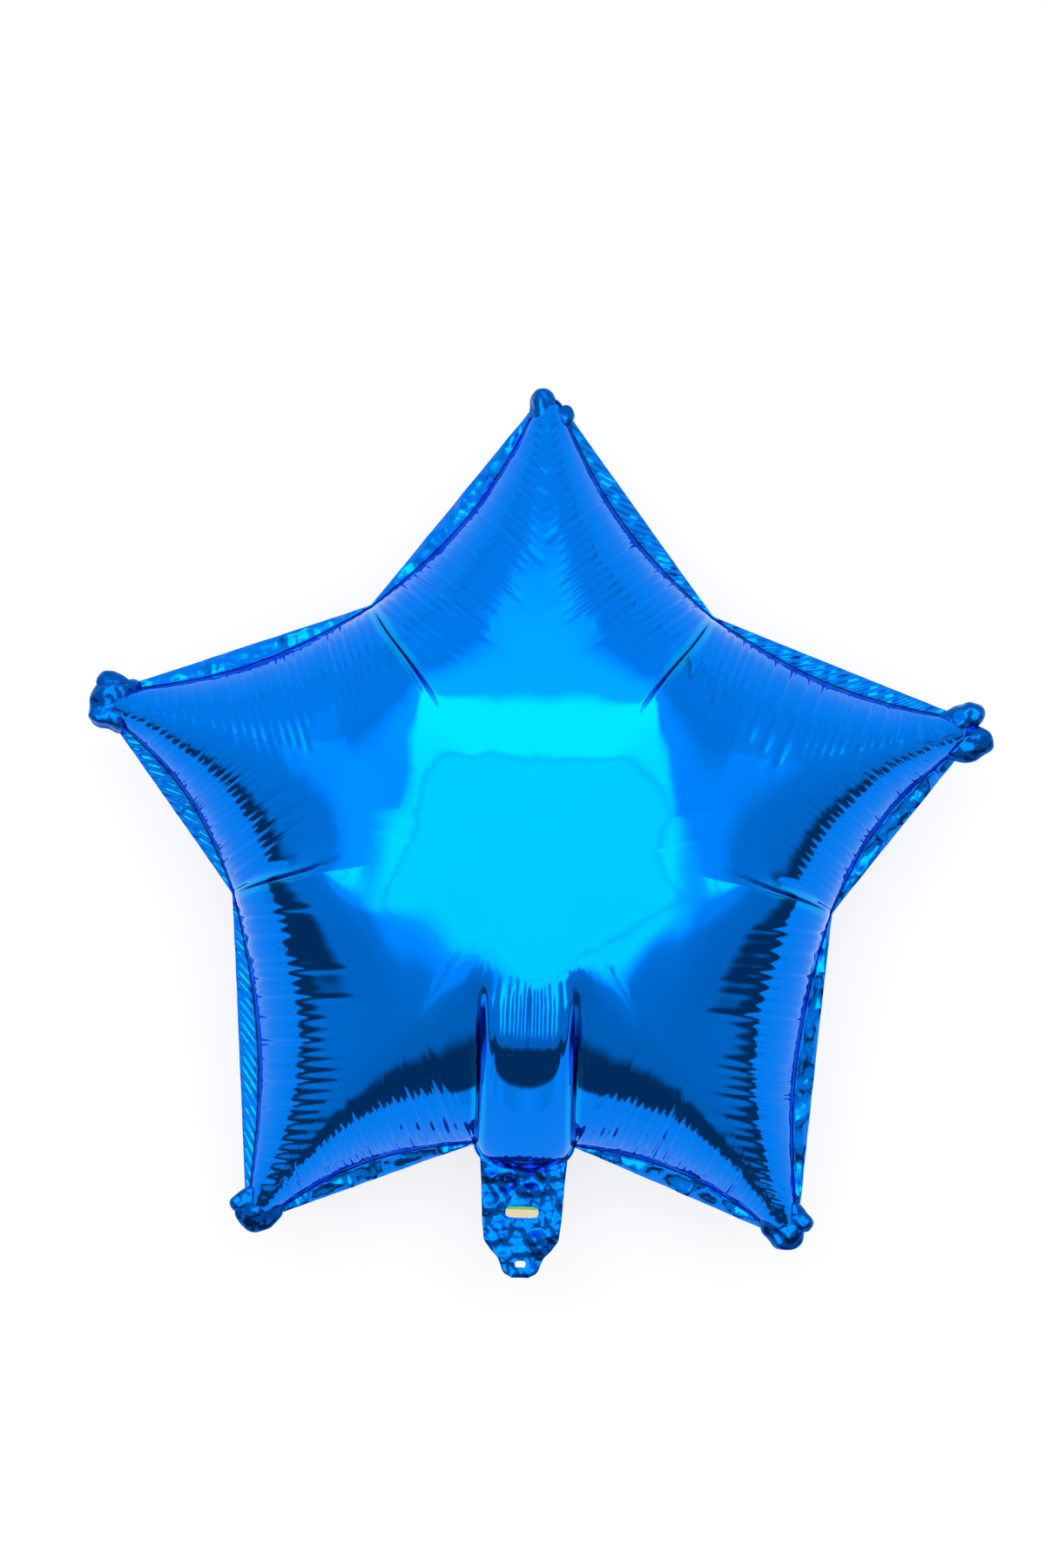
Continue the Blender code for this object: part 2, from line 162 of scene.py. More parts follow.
@dataclass
class Columns:
    """Columns of a sheet, in order along the seam.

    Each has a seam point, an end on a ridge, two knees that bend it on the way, the bow of the edge, the
    number of gathers passed, the strength of its gathers, its roll power, the edge it belongs to, and
    the radii between which the centre's dome takes over. Near a notch, the share crease is up to 1, and
    there the height follows the arm's own straight edge: a point on it, and its inward normal. On its
    way to the ridge a column slides past some others, so that it meets the end of its partner in the
    arm's other half, some columns further on.
    """

    seam: np.ndarray
    end: np.ndarray
    knee: np.ndarray
    second_knee: np.ndarray
    bow: np.ndarray
    phase: np.ndarray
    strength: np.ndarray
    power: np.ndarray
    edge: np.ndarray
    smooth: np.ndarray
    crease: np.ndarray
    edge_point: np.ndarray
    edge_normal: np.ndarray
    axis: np.ndarray
    slide: np.ndarray
    partner: np.ndarray

    def part(self, order: slice) -> "Columns":
        """The columns that a slice picks."""
        return Columns(*(getattr(self, name)[order] for name in self.__dataclass_fields__))

    def turned(self) -> "Columns":
        """The same columns in the other order."""
        made = self.part(slice(None, None, -1))
        return replace(made, slide=-made.slide, partner=-made.partner)

    def meeting(self, other: "Columns", tip: int) -> "Columns":
        """These columns, with the slide that takes their ends halfway to the other half's.

        Args:
            other: The arm's other half.
            tip: Number of columns round the tip, which all end in one point.

        Returns:
            The columns.
        """
        reach = np.linalg.norm(self.end, axis=1)
        shared = (reach + np.linalg.norm(other.end, axis=1)) / 2
        free = np.arange(len(reach) - tip)
        slide = np.zeros(len(reach))
        slide[free] = np.interp(shared[free], reach[free], free) - free
        return replace(self, slide=slide)

    @staticmethod
    def joined(parts: list["Columns"]) -> "Columns":
        """Several runs of columns as one."""
        names = Columns.__dataclass_fields__
        return Columns(*(np.concatenate([getattr(part, name) for part in parts]) for name in names))


@dataclass(frozen=True)
class Dome:
    """Smooth dome that holds the centre of a sheet and the ridges of its arms."""

    height: float = 0.0700
    power: float = 2.1
    reach: float = 0.2180
    arms: int = 5
    facet_power: float = 16.0
    step: float = 1e-4

    def height_at(self, plan: np.ndarray) -> np.ndarray:
        """Height above the seam's plane.

        Args:
            plan: Points in plan, as an array whose last axis is X and Y.

        Returns:
            height * (1 - (gauge / reach)^power). The gauge is the distance from the centre along the
            nearest arm's axis, and its level lines are pentagons with rounded corners:
            gauge^facet_power is the sum of (point . axis)^facet_power over the arms ahead of the point.
        """
        turns = UP - 2 * math.pi / self.arms * np.arange(self.arms)
        along = np.maximum(plan @ np.array([np.cos(turns), np.sin(turns)]) / self.reach, 0.0)
        gauge = (along ** self.facet_power).sum(axis=-1) ** (1 / self.facet_power)
        return self.height * (1 - np.minimum(gauge, 1.0) ** self.power)

    def slope_at(self, plan: np.ndarray, ahead: np.ndarray) -> np.ndarray:
        """Slope of the dome at each point in the direction ahead."""
        return (self.height_at(plan) - self.height_at(plan - self.step * ahead)) / self.step


@dataclass(frozen=True)
class Roll:
    """How a sheet rolls over from the seam up to its ridge."""

    power: float = 2.15
    lower_power: float = 1.72
    lower_edges: tuple[int, int] = (4, 5)
    full_length: float = 0.0780
    lengthening: float = 0.6
    smooth: tuple[float, float] = (0.0800, 0.1150)
    neck_smooth: tuple[float, float] = (0.0580, 0.0720)

    def power_at(self, length: np.ndarray, edge: int) -> np.ndarray:
        """Roll power of an edge's columns.

        Args:
            length: Length of each column from the seam to the ridge.
            edge: Number of the edge.

        Returns:
            power * (length / full_length)^lengthening, or power if that is more. The two edges beside
            the neck have one lower power.
        """
        if edge in self.lower_edges:
            return np.full(len(length), self.lower_power)
        return self.power * np.maximum(length / self.full_length, 1.0) ** self.lengthening

    def share(self, t: np.ndarray, power: np.ndarray) -> np.ndarray:
        """Share of the climb at a share t of the way in: (1 - (1 - t)^power)^(1 / power)."""
        return (1 - (1 - t) ** power) ** (1 / power)


@dataclass(frozen=True)
class StarOutline:
    """Works out the columns of a sheet all round the star.

    The widths of the gathers differ by a share, unevenness. The gathers fade in and out over gather_ends,
    which are shares of the edge, notch first. The crease's hold on the fan is 1 - opening^crease_fade.
    """

    plan: StarPlan = field(default_factory=StarPlan)
    counts: GridCounts = field(default_factory=GridCounts)
    roll: Roll = field(default_factory=Roll)
    unevenness: float = 0.32
    gather_ends: tuple[float, float] = (0.05, 0.04)
    crease_fade: int = 4

    def half_arm(self, edge: int, angle: float, notch: np.ndarray, crease: np.ndarray,
                 knee: np.ndarray) -> Columns:
        """Columns of half an arm, from its notch to its tip.

        The seam is a small arc at the notch, an edge that bows inwards by half a sine wave, and an
        arc round the tip. The gathers along the edge have uneven widths.

        Args:
            edge: Number of the edge, which seeds its gathers.
            angle: Direction of the arm's axis.
            notch: Corner between this arm and the next.
            crease: Direction in which the crease leaves the notch.
            knee: Second knee of the crease's column.

        Returns:
            The columns, notch first.
        """
        plan, counts = self.plan, self.counts
        axis = unit(angle)
        corner = plan.tip_radius * axis
        along = (corner - notch) / np.linalg.norm(corner - notch)
        outward = -crease
        fan_angle = math.acos(outward @ along)
        centre = notch + outward * plan.notch_round / math.sin(fan_angle)
        start = notch + along * plan.notch_round / math.tan(fan_angle)
        opening = np.linspace(0, 1, counts.fan + 1) ** counts.fan_crowding
        fan = arc(centre, centre - outward * plan.notch_round, start, opening)

        inward = np.array([along[1], -along[0]])
        inward *= -np.sign(inward @ axis)
        sharpness = math.acos(along @ axis)
        tip_centre = corner - axis * plan.tip_round / math.sin(sharpness)
        end = corner - along * plan.tip_round / math.tan(sharpness)
        tip = arc(tip_centre, end, tip_centre + plan.tip_round * axis, np.linspace(0, 1, counts.tip + 1))

        random = np.random.default_rng(SEEDS.edge + edge)
        widths = 1 + self.unevenness * random.uniform(-1, 1, counts.puckers)
        places = np.concatenate([[0], np.cumsum(widths) / widths.sum()])
        phase = np.linspace(0, counts.puckers, counts.puckers * counts.pucker_columns + 1)
        steps = np.interp(phase, np.arange(counts.puckers + 1), places)
        bow = plan.seam_bow * np.sin(math.pi * steps)
        line = start + np.outer(steps, end - start) + np.outer(bow, inward)
        ridge_end = plan.tip_radius - plan.tip_cover
        across = np.array([-axis[1], axis[0]])
        foot = (start - inward * (start @ across) / (inward @ across)) @ axis
        ridge = np.concatenate([
            foot * opening,
            foot + (ridge_end - foot) * phase[1:] / counts.puckers,
            np.full(counts.tip, ridge_end),
        ])
        seam = np.vstack([fan, line[1:], tip[1:]])
        ends = np.outer(ridge, axis)
        knees, second_knees = self.knees(seam, ends, crease, knee, inward, opening)
        fade_in, fade_out = self.gather_ends
        strength = smooth_step(0.0, fade_in, steps) * smooth_step(0.0, fade_out, 1 - steps)
        count = len(seam)
        creased = np.zeros(count)
        creased[:counts.fan + 1] = 1 - opening ** self.crease_fade
        smooth = self.roll.neck_smooth if plan.at_neck(notch[0]) else self.roll.smooth
        pads = (counts.fan, counts.tip)
        return Columns(
            seam=seam,
            end=ends,
            knee=knees,
            second_knee=second_knees,
            bow=np.pad(bow, pads),
            phase=counts.first_gather(edge) + np.pad(phase, pads, mode="edge"),
            strength=np.pad(strength, pads),
            power=self.roll.power_at(np.linalg.norm(ends - seam, axis=1), edge),
            edge=np.full(count, edge),
            smooth=np.tile(smooth, (count, 1)),
            crease=creased,
            edge_point=np.tile(start, (count, 1)),
            edge_normal=np.tile(inward, (count, 1)),
            axis=np.tile(axis, (count, 1)),
            slide=np.zeros(count),
            partner=2 * np.arange(count - 1, -1, -1),
        )

    def knees(self, seam: np.ndarray, ends: np.ndarray, crease: np.ndarray, knee: np.ndarray,
              inward: np.ndarray, opening: np.ndarray) -> tuple[np.ndarray, np.ndarray]:
        """Knees of the columns of half an arm.

        The fan's columns leave the seam in directions that turn evenly from the crease's to the edge's
        inward normal. Their second knees move evenly from the crease's to the straight line.

        Args:
            seam: Seam points.
            ends: Ends on the ridge.
            crease: Direction of the crease at the notch.
            knee: Second knee of the crease's column.
            inward: Inward normal of the edge.
            opening: Share of the fan that each of its columns has turned.

        Returns:
            The first and second knees.
        """
        count = len(opening)
        straight = ends - seam
        first, second = seam + straight / 3, seam + straight * 2 / 3
        turn = math.atan2(crease[1], crease[0])
        sweep = math.remainder(math.atan2(inward[1], inward[0]) - turn, 2 * math.pi)
        turns = turn + sweep * opening
        reach = np.linalg.norm(straight[:count], axis=1)[:, None] / 3
        first[:count] = seam[:count] + reach * np.column_stack([np.cos(turns), np.sin(turns)])
        share = 1 - opening[:, None]
        second[:count] += share * (knee - second[0])
        return first, second

    def half_neck(self, start: np.ndarray, edge: int) -> Columns:
        """Columns of half the neck, along a quarter ellipse from its notch to the bottom of the seal.

        The knees move from the crease's to the straight line by (1 - step)^neck_fade. The envelope's
        neck_height gives these columns their heights, so their roll power isn't used.

        Args:
            start: Seam point at the neck's notch.
            edge: Number of the edge.

        Returns:
            The columns, notch first.
        """
        plan, count = self.plan, self.counts.neck
        steps = np.linspace(0, 1, count + 1)
        turns = steps * math.pi / 2
        seam = np.column_stack([
            start[0] * np.cos(turns),
            start[1] + (plan.neck_seal - start[1]) * np.sin(turns),
        ])
        ends = np.outer(plan.neck_top * steps, unit(DOWN))
        side = np.sign(start[0])
        straight = ends - seam
        first, second = seam + straight / 3, seam + straight * 2 / 3
        reach = np.linalg.norm(straight, axis=1)[:, None] / 3
        fade = (1 - steps[:, None]) ** plan.neck_fade
        first = first + fade * (seam + reach * (0, 1) - first)
        second = second + fade * (np.array(plan.neck_knees[0 if side > 0 else 1]) - second[0])
        none = np.zeros(count + 1)
        down = np.tile(unit(DOWN), (count + 1, 1))
        return Columns(
            seam=seam,
            end=ends,
            knee=first,
            second_knee=second,
            bow=none,
            phase=none + self.counts.first_gather(edge),
            strength=none,
            power=none + self.roll.power,
            edge=np.full(count + 1, edge),
            smooth=np.tile(self.roll.neck_smooth, (count + 1, 1)),
            crease=np.where(steps == 0, 1.0, 0.0),
            edge_point=seam,
            edge_normal=-down,
            axis=down,
            slide=none,
            partner=2 * np.arange(count, -1, -1),
        )

    def crease_at(self, notch: np.ndarray, tip: np.ndarray, next_tip: np.ndarray) -> tuple[np.ndarray, ...]:
        """The crease that halves the corner at a notch.

        Args:
            notch: Corner between two arms.
            tip: Tip of one of them.
            next_tip: Tip of the other.

        Returns:
            The notch, the crease's direction inwards, and the second knee of its column.
        """
        away = [(point - notch) / np.linalg.norm(point - notch) for point in (tip, next_tip)]
        crease = -(away[0] + away[1]) / np.linalg.norm(away[0] + away[1])
        first = notch + crease * np.linalg.norm(notch) / 3
        return notch, crease, first / 2

    def columns(self) -> Columns:
        """Columns all round the star, clockwise from the top tip."""
        plan = self.plan
        step = 2 * math.pi / plan.arms
        flip = np.array([-1.0, 1.0])
        upper = plan.upper_notch[0] * unit(math.radians(plan.upper_notch[1]))
        side = plan.side_notch[0] * unit(math.radians(plan.side_notch[1]))
        tips = [plan.tip_radius * unit(UP - index * step) for index in range(3)]
        right = [
            self.crease_at(upper, tips[0], tips[1]),
            self.crease_at(side, tips[1], tips[2]),
            (np.array(plan.neck_notch), unit(UP), np.array(plan.neck_knees[0])),
        ]
        left = [tuple(point * flip for point in corner) for corner in right]
        left[2] = (*left[2][:2], np.array(plan.neck_knees[1]))
        corners = [(left[0], right[0]), (right[0], right[1]), (right[1], right[2]),
                   (left[2], left[1]), (left[1], left[0])]
        runs = []
        for index, (before, after) in enumerate(corners):
            angle = UP - index * step
            first = self.half_arm((2 * index - 1) % (2 * plan.arms), angle, *before)
            second = self.half_arm(2 * index, angle, *after)
            tip = self.counts.tip
            runs.append(first.meeting(second, tip).part(slice(None, -1)))
            runs.append(second.meeting(first, tip).turned().part(slice(None, -1)))
            if index == 2:
                right_half = self.half_neck(second.seam[0], NECK_EDGE)
                left_half = self.half_neck(second.seam[0] * flip, NECK_EDGE + 1)
                runs.append(right_half.part(slice(None, -1)))
                runs.append(left_half.turned().part(slice(None, -1)))
        runs.append(runs.pop(0))
        return Columns.joined(runs)


@dataclass(frozen=True)
class Valleys:
    """Sharp valleys across the seam, given for every column of the sheet.

    Each column belongs to its nearest valley. The depth falls off sideways by (1 - gap)^sharpness,
    and along the column by (1 - distance / length)^fade.
    """

    gap: np.ndarray
    depth: np.ndarray
    length: np.ndarray
    sharpness: float
    fade: float

    def at(self, distance: np.ndarray) -> np.ndarray:
        """Depth of the valleys.

        Args:
            distance: Distance of each row from the seam (columns by rows).

        Returns:
            depth * (1 - gap)^sharpness * (1 - distance / length)^fade.
        """
        side = np.clip(1 - self.gap, 0, 1) ** self.sharpness
        along = np.clip(1 - distance / self.length[:, None], 0, 1) ** self.fade
        return (self.depth * side)[:, None] * along


@dataclass(frozen=True)
class Waves:
    """Sum of sine waves with random directions and phases, for gentle unevenness."""

    wavelength: tuple[float, float]
    count: int
    seed: int

    def at(self, plan: np.ndarray) -> np.ndarray:
        """Height of the waves.

        Args:
            plan: Points, as an array whose last axis is X and Y.

        Returns:
            The sum of sin(2 pi (direction . plan) / wavelength + phase), over the root of the count.
        """
        random = np.random.default_rng(self.seed)
        turns = random.uniform(0, math.pi, self.count)
        lengths = random.uniform(*self.wavelength, self.count)
        phases = random.uniform(0, 2 * math.pi, self.count)
        waves = np.column_stack([np.cos(turns), np.sin(turns)]) * (2 * math.pi / lengths)[:, None]
        return np.sin(plan @ waves.T + phases).sum(axis=-1) / math.sqrt(self.count)


@dataclass(frozen=True)
class Facets:
    """Sum of folded ramps with random directions, for crumpled film with flat facets."""

    wavelength: tuple[float, float]
    count: int
    seed: int

    def at(self, plan: np.ndarray) -> np.ndarray:
        """Height of the ramps.

        Args:
            plan: Points, as an array whose last axis is X and Y.

        Returns:
            The sum of |fraction((direction . plan) / wavelength + phase) - 1/2| * 4 - 1, over the root of
            the count.
        """
        random = np.random.default_rng(self.seed)
        turns = random.uniform(0, math.pi, self.count)
        lengths = random.uniform(*self.wavelength, self.count)
        phases = random.uniform(0, 1, self.count)
        waves = np.column_stack([np.cos(turns), np.sin(turns)]) / lengths[:, None]
        ramps = np.abs((plan @ waves.T + phases) % 1.0 - 0.5) * 4 - 1
        return ramps.sum(axis=-1) / math.sqrt(self.count)


@dataclass(frozen=True)
class PuckerSizes:
    """Sizes of the gathers that cross the rolled edges, in metres.

    A span is a gather's length, and an onset is where it starts. A fall is its sharpness and fade. The
    pinches' pitch, stray and width are in gathers.
    """

    fine_depth: tuple[float, float] = (0.0008, 0.0018)
    fine_span: tuple[float, float] = (0.056, 0.084)
    fine_onset: tuple[float, float] = (0.004, 0.016)
    fine_fall: tuple[float, float] = (1.3, 0.6)
    wide_depth: tuple[float, float] = (0.0002, 0.0012)
    wide_span: tuple[float, float] = (0.054, 0.090)
    wide_fall: tuple[float, float] = (1.5, 1.0)
    pinch_depth: tuple[float, float] = (0.0003, 0.0011)
    pinch_span: tuple[float, float] = (0.040, 0.070)
    pinch_onset: tuple[float, float] = (0.0, 0.010)
    pinch_fall: tuple[float, float] = (1.6, 1.2)
    pinch_pitch: float = 8.0
    pinch_stray: float = 2.5
    pinch_width: float = 1.2


class Puckers:
    """Random gathers along every edge of the star, with a fixed seed."""

    def __init__(self, sizes: PuckerSizes, phase: np.ndarray, seed: int) -> None:
        """Draws the valleys.

        Args:
            sizes: Depths and lengths.
            phase: Number of gathers passed at each column, counted along the seam.
            seed: Start of the random numbers.
        """
        self.sizes = sizes
        random = np.random.default_rng(seed)
        count = int(phase.max()) + SPARE_DRAWS
        places = np.round(np.arange(sizes.pinch_pitch / 2, count, sizes.pinch_pitch))
        places += np.round(random.uniform(-sizes.pinch_stray, sizes.pinch_stray, len(places)))
        pinch = np.abs(phase[:, None] - places).argmin(axis=1)
        fine, wide = np.round(phase).astype(int), np.round(phase / 2).astype(int)

        def draw(span: tuple[float, float], nearest: np.ndarray) -> np.ndarray:
            """A random number in the span for each column, the same where they share a valley."""
            return random.uniform(*span, count)[nearest]

        self.fine = Valleys(2 * np.abs(phase - fine), draw(sizes.fine_depth, fine),
                            draw(sizes.fine_span, fine), *sizes.fine_fall)
        self.wide = Valleys(2 * np.abs(phase / 2 - wide), draw(sizes.wide_depth, wide),
                            draw(sizes.wide_span, wide), *sizes.wide_fall)
        self.pinch = Valleys(np.abs(phase - places[pinch]) / sizes.pinch_width,
                             draw(sizes.pinch_depth, pinch), draw(sizes.pinch_span, pinch), *sizes.pinch_fall)

    def at(self, distance: np.ndarray) -> np.ndarray:
        """Depth of all gathers.

        Args:
            distance: Distance of each row from the seam (columns by rows).

        Returns:
            The sum of the fine, the wide and the pinched gathers, each from its onset on.
        """
        onset = smooth_step(*self.sizes.fine_onset, distance)
        start = smooth_step(*self.sizes.pinch_onset, distance)
        return onset * (self.fine.at(distance) + self.wide.at(distance)) + start * self.pinch.at(distance)


def ring_faces(rings: list[np.ndarray]) -> tuple[np.ndarray, list[np.ndarray]]:
    """Faces between closed rings, each joined to the next.

    Args:
        rings: Points of each ring. A ring may hold half as many as the one before it, or twice as many.

    Returns:
        Point numbers of the four-sided faces, and lists of them for the triangles.
    """
    starts = np.concatenate([[0], np.cumsum([len(ring) for ring in rings])])
    quads, triangles = [], []
    for index, (ring, following) in enumerate(zip(rings, rings[1:])):
        first, second = starts[index], starts[index + 1]
        here, there = len(ring), len(following)
        if here == there:
            now = np.arange(here)
            ahead = (now + 1) % here
            quads.append(np.column_stack([first + now, first + ahead, second + ahead, second + now]))
            continue
        fine, coarse, turned = (first, second, False) if here > there else (second, first, True)
        now = np.arange(min(here, there))
        ahead = (now + 1) % len(now)
        made = np.concatenate([
            np.column_stack([fine + 2 * now, fine + 2 * now + 1, coarse + now]),
            np.column_stack([fine + 2 * now + 1, coarse + ahead, coarse + now]),
            np.column_stack([fine + 2 * now + 1, fine + 2 * ahead, coarse + ahead]),
        ])
        triangles.append(made[:, ::-1] if turned else made)
    return np.concatenate(quads), triangles


def closed_mesh(name: str, rings: list[np.ndarray], values: dict[str, list[np.ndarray]]) -> bpy.types.Mesh:
    """A mesh of closed rings, each joined to the next.

    Points that meet are merged, so a last ring that runs out and back along a line closes the shape.

    Args:
        name: Name of the mesh.
        rings: Points of each ring (count by 3).
        values: Named numbers for each point, kept as attributes of the mesh.

    Returns:
        The mesh, with its faces turned outwards.
    """
    quads, triangles = ring_faces(rings)
    points = np.concatenate(rings)
    mesh = bpy.data.meshes.new(name)
    corners = [quads.ravel()] + [made.ravel() for made in triangles]
    sizes = np.concatenate([np.full(len(quads), 4)] + [np.full(len(made), 3) for made in triangles])
    mesh.vertices.add(len(points))
    mesh.vertices.foreach_set("co", points.astype(np.float32).ravel())
    mesh.loops.add(int(sizes.sum()))
    mesh.loops.foreach_set("vertex_index", np.concatenate(corners).astype(np.int32))
    mesh.polygons.add(len(sizes))
    mesh.polygons.foreach_set("loop_start", np.concatenate([[0], np.cumsum(sizes)[:-1]]).astype(np.int32))
    mesh.update(calc_edges=True)
    for label, lists in values.items():
        layer = mesh.attributes.new(label, "FLOAT", "POINT")
        layer.data.foreach_set("value", np.concatenate(lists).astype(np.float32))
    shaped = bmesh.new()
    shaped.from_mesh(mesh)
    bmesh.ops.remove_doubles(shaped, verts=shaped.verts, dist=MERGE)
    bmesh.ops.recalc_face_normals(shaped, faces=shaped.faces)
    shaped.to_mesh(mesh)
    shaped.free()
    mesh.shade_smooth()
    return mesh


def add_object(name: str, mesh: bpy.types.Mesh) -> bpy.types.Object:
    """A new object in the scene at the origin.

    Args:
        name: Name of the object.
        mesh: Its mesh.

    Returns:
        The object.
    """
    made = bpy.data.objects.new(name, mesh)
    bpy.context.scene.collection.objects.link(made)
    return made


def dressed(piece: bpy.types.Object, finish: bpy.types.Material) -> bpy.types.Object:
    """The piece, with one finish all over and no other.

    Args:
        piece: Object to dress.
        finish: Its finish.

    Returns:
        The same object.
    """
    piece.data.materials.clear()
    piece.data.materials.append(finish)
    return piece


@dataclass(frozen=True)
class FlangeSizes:
    """Sizes of the sealed flange round the seam, in metres.

    The ripple dies away over ripple_reach inwards. The crumple has facets of these wavelengths, and its
    share on roped edges is roped_share. The gathers' strength swells over swell_gathers of them, from
    least_gathers to 1.
    """

    lip: float = 0.0016
    thickness: float = 0.0004
    ripple: float = 0.0005
    ripple_reach: float = 0.006
    droop: float = 0.50
    crumple: float = 0.0017
    facet_length: tuple[float, float] = (0.009, 0.022)
    facet_count: int = 7
    roped_edges: tuple[int, ...] = (0, 1, 6, 7)
    roped_share: float = 0.3
    least_gathers: float = 0.45
    swell_gathers: int = 5


@dataclass(frozen=True)
class SlackSizes:
    """Sizes of the gentle unevenness of the taut film, which fades in over its onset, in metres."""

    depth: float = 0.00012
    wavelength: tuple[float, float] = (0.030, 0.080)
    count: int = 9
    onset: float = 0.030


@dataclass(frozen=True)
class Fold:
    """A narrow fold beside a crease, in metres.

    It has a share of the folds' depth, a place beside the crease, a width, and a start and an end inwards
    from the notch.
    """

    share: float
    place: float
    width: float
    start: float
    end: float


@dataclass(frozen=True)
class CreaseSizes:
    """Sizes of the narrow folds at each notch, in metres.

    A place counts as hollow, and takes painted shade, from the first to the second share of the depth. The
    folds' line bends to and fro once over its length. The vee is the strip that is painted paler, as a
    painted reflection of the two sides of a crease in each other, and it softens from vee_core of its width
    outwards. A fold deepens over ends, from early before its start, and fades over last_share times ends.
    """

    depth: float = 0.0022
    # Painted shade: shares of the fold depth over which the foil's colour is darkened.
    hollow: tuple[float, float] = (0.2, 0.8)
    folds: tuple[Fold, ...] = (
        Fold(1.00, 0.0, 0.0013, 0.0, 0.056), Fold(0.22, 0.0034, 0.0008, 0.026, 0.048),
        Fold(0.20, -0.0030, 0.0008, 0.024, 0.044),
    )
    early: float = 0.002
    ends: float = 0.0100
    last_share: float = 1.6
    bend: float = 0.0005
    bend_length: float = 0.0560
    neck_reach: float = 1.30
    vee_width: float = 0.0042
    vee_core: float = 0.6
    vee_end: tuple[float, float] = (0.026, 0.044)


@dataclass(frozen=True)
class NeckSizes:
    """Shape of the neck, in metres.

    The slopes are pairs of a share of the way up the neck and the slope there, against one another. The
    gathers have a depth and a pitch, and their places sway by a sine wave. They fade in and out along Y
    over bottom and top, and sideways over side.
    """

    side_power: float = 6.0
    slopes: tuple[tuple[float, float], ...] = (
        (0.0, 3.40), (0.03, 1.92), (0.08, 1.18), (0.18, 1.02), (0.40, 0.88), (0.55, 0.72), (0.70, 0.58),
        (0.76, 0.40), (0.80, 0.15), (1.0, 0.10),
    )
    slope_steps: int = 400
    crease_steps: int = 80
    depth: float = 0.0008
    pitch: float = 0.0040
    sway: float = 0.35
    sway_length: float = 0.0052
    bottom: tuple[float, float] = (-0.1000, -0.0740)
    top: tuple[float, float] = (-0.0660, -0.0580)
    side: tuple[float, float] = (0.0190, 0.0260)


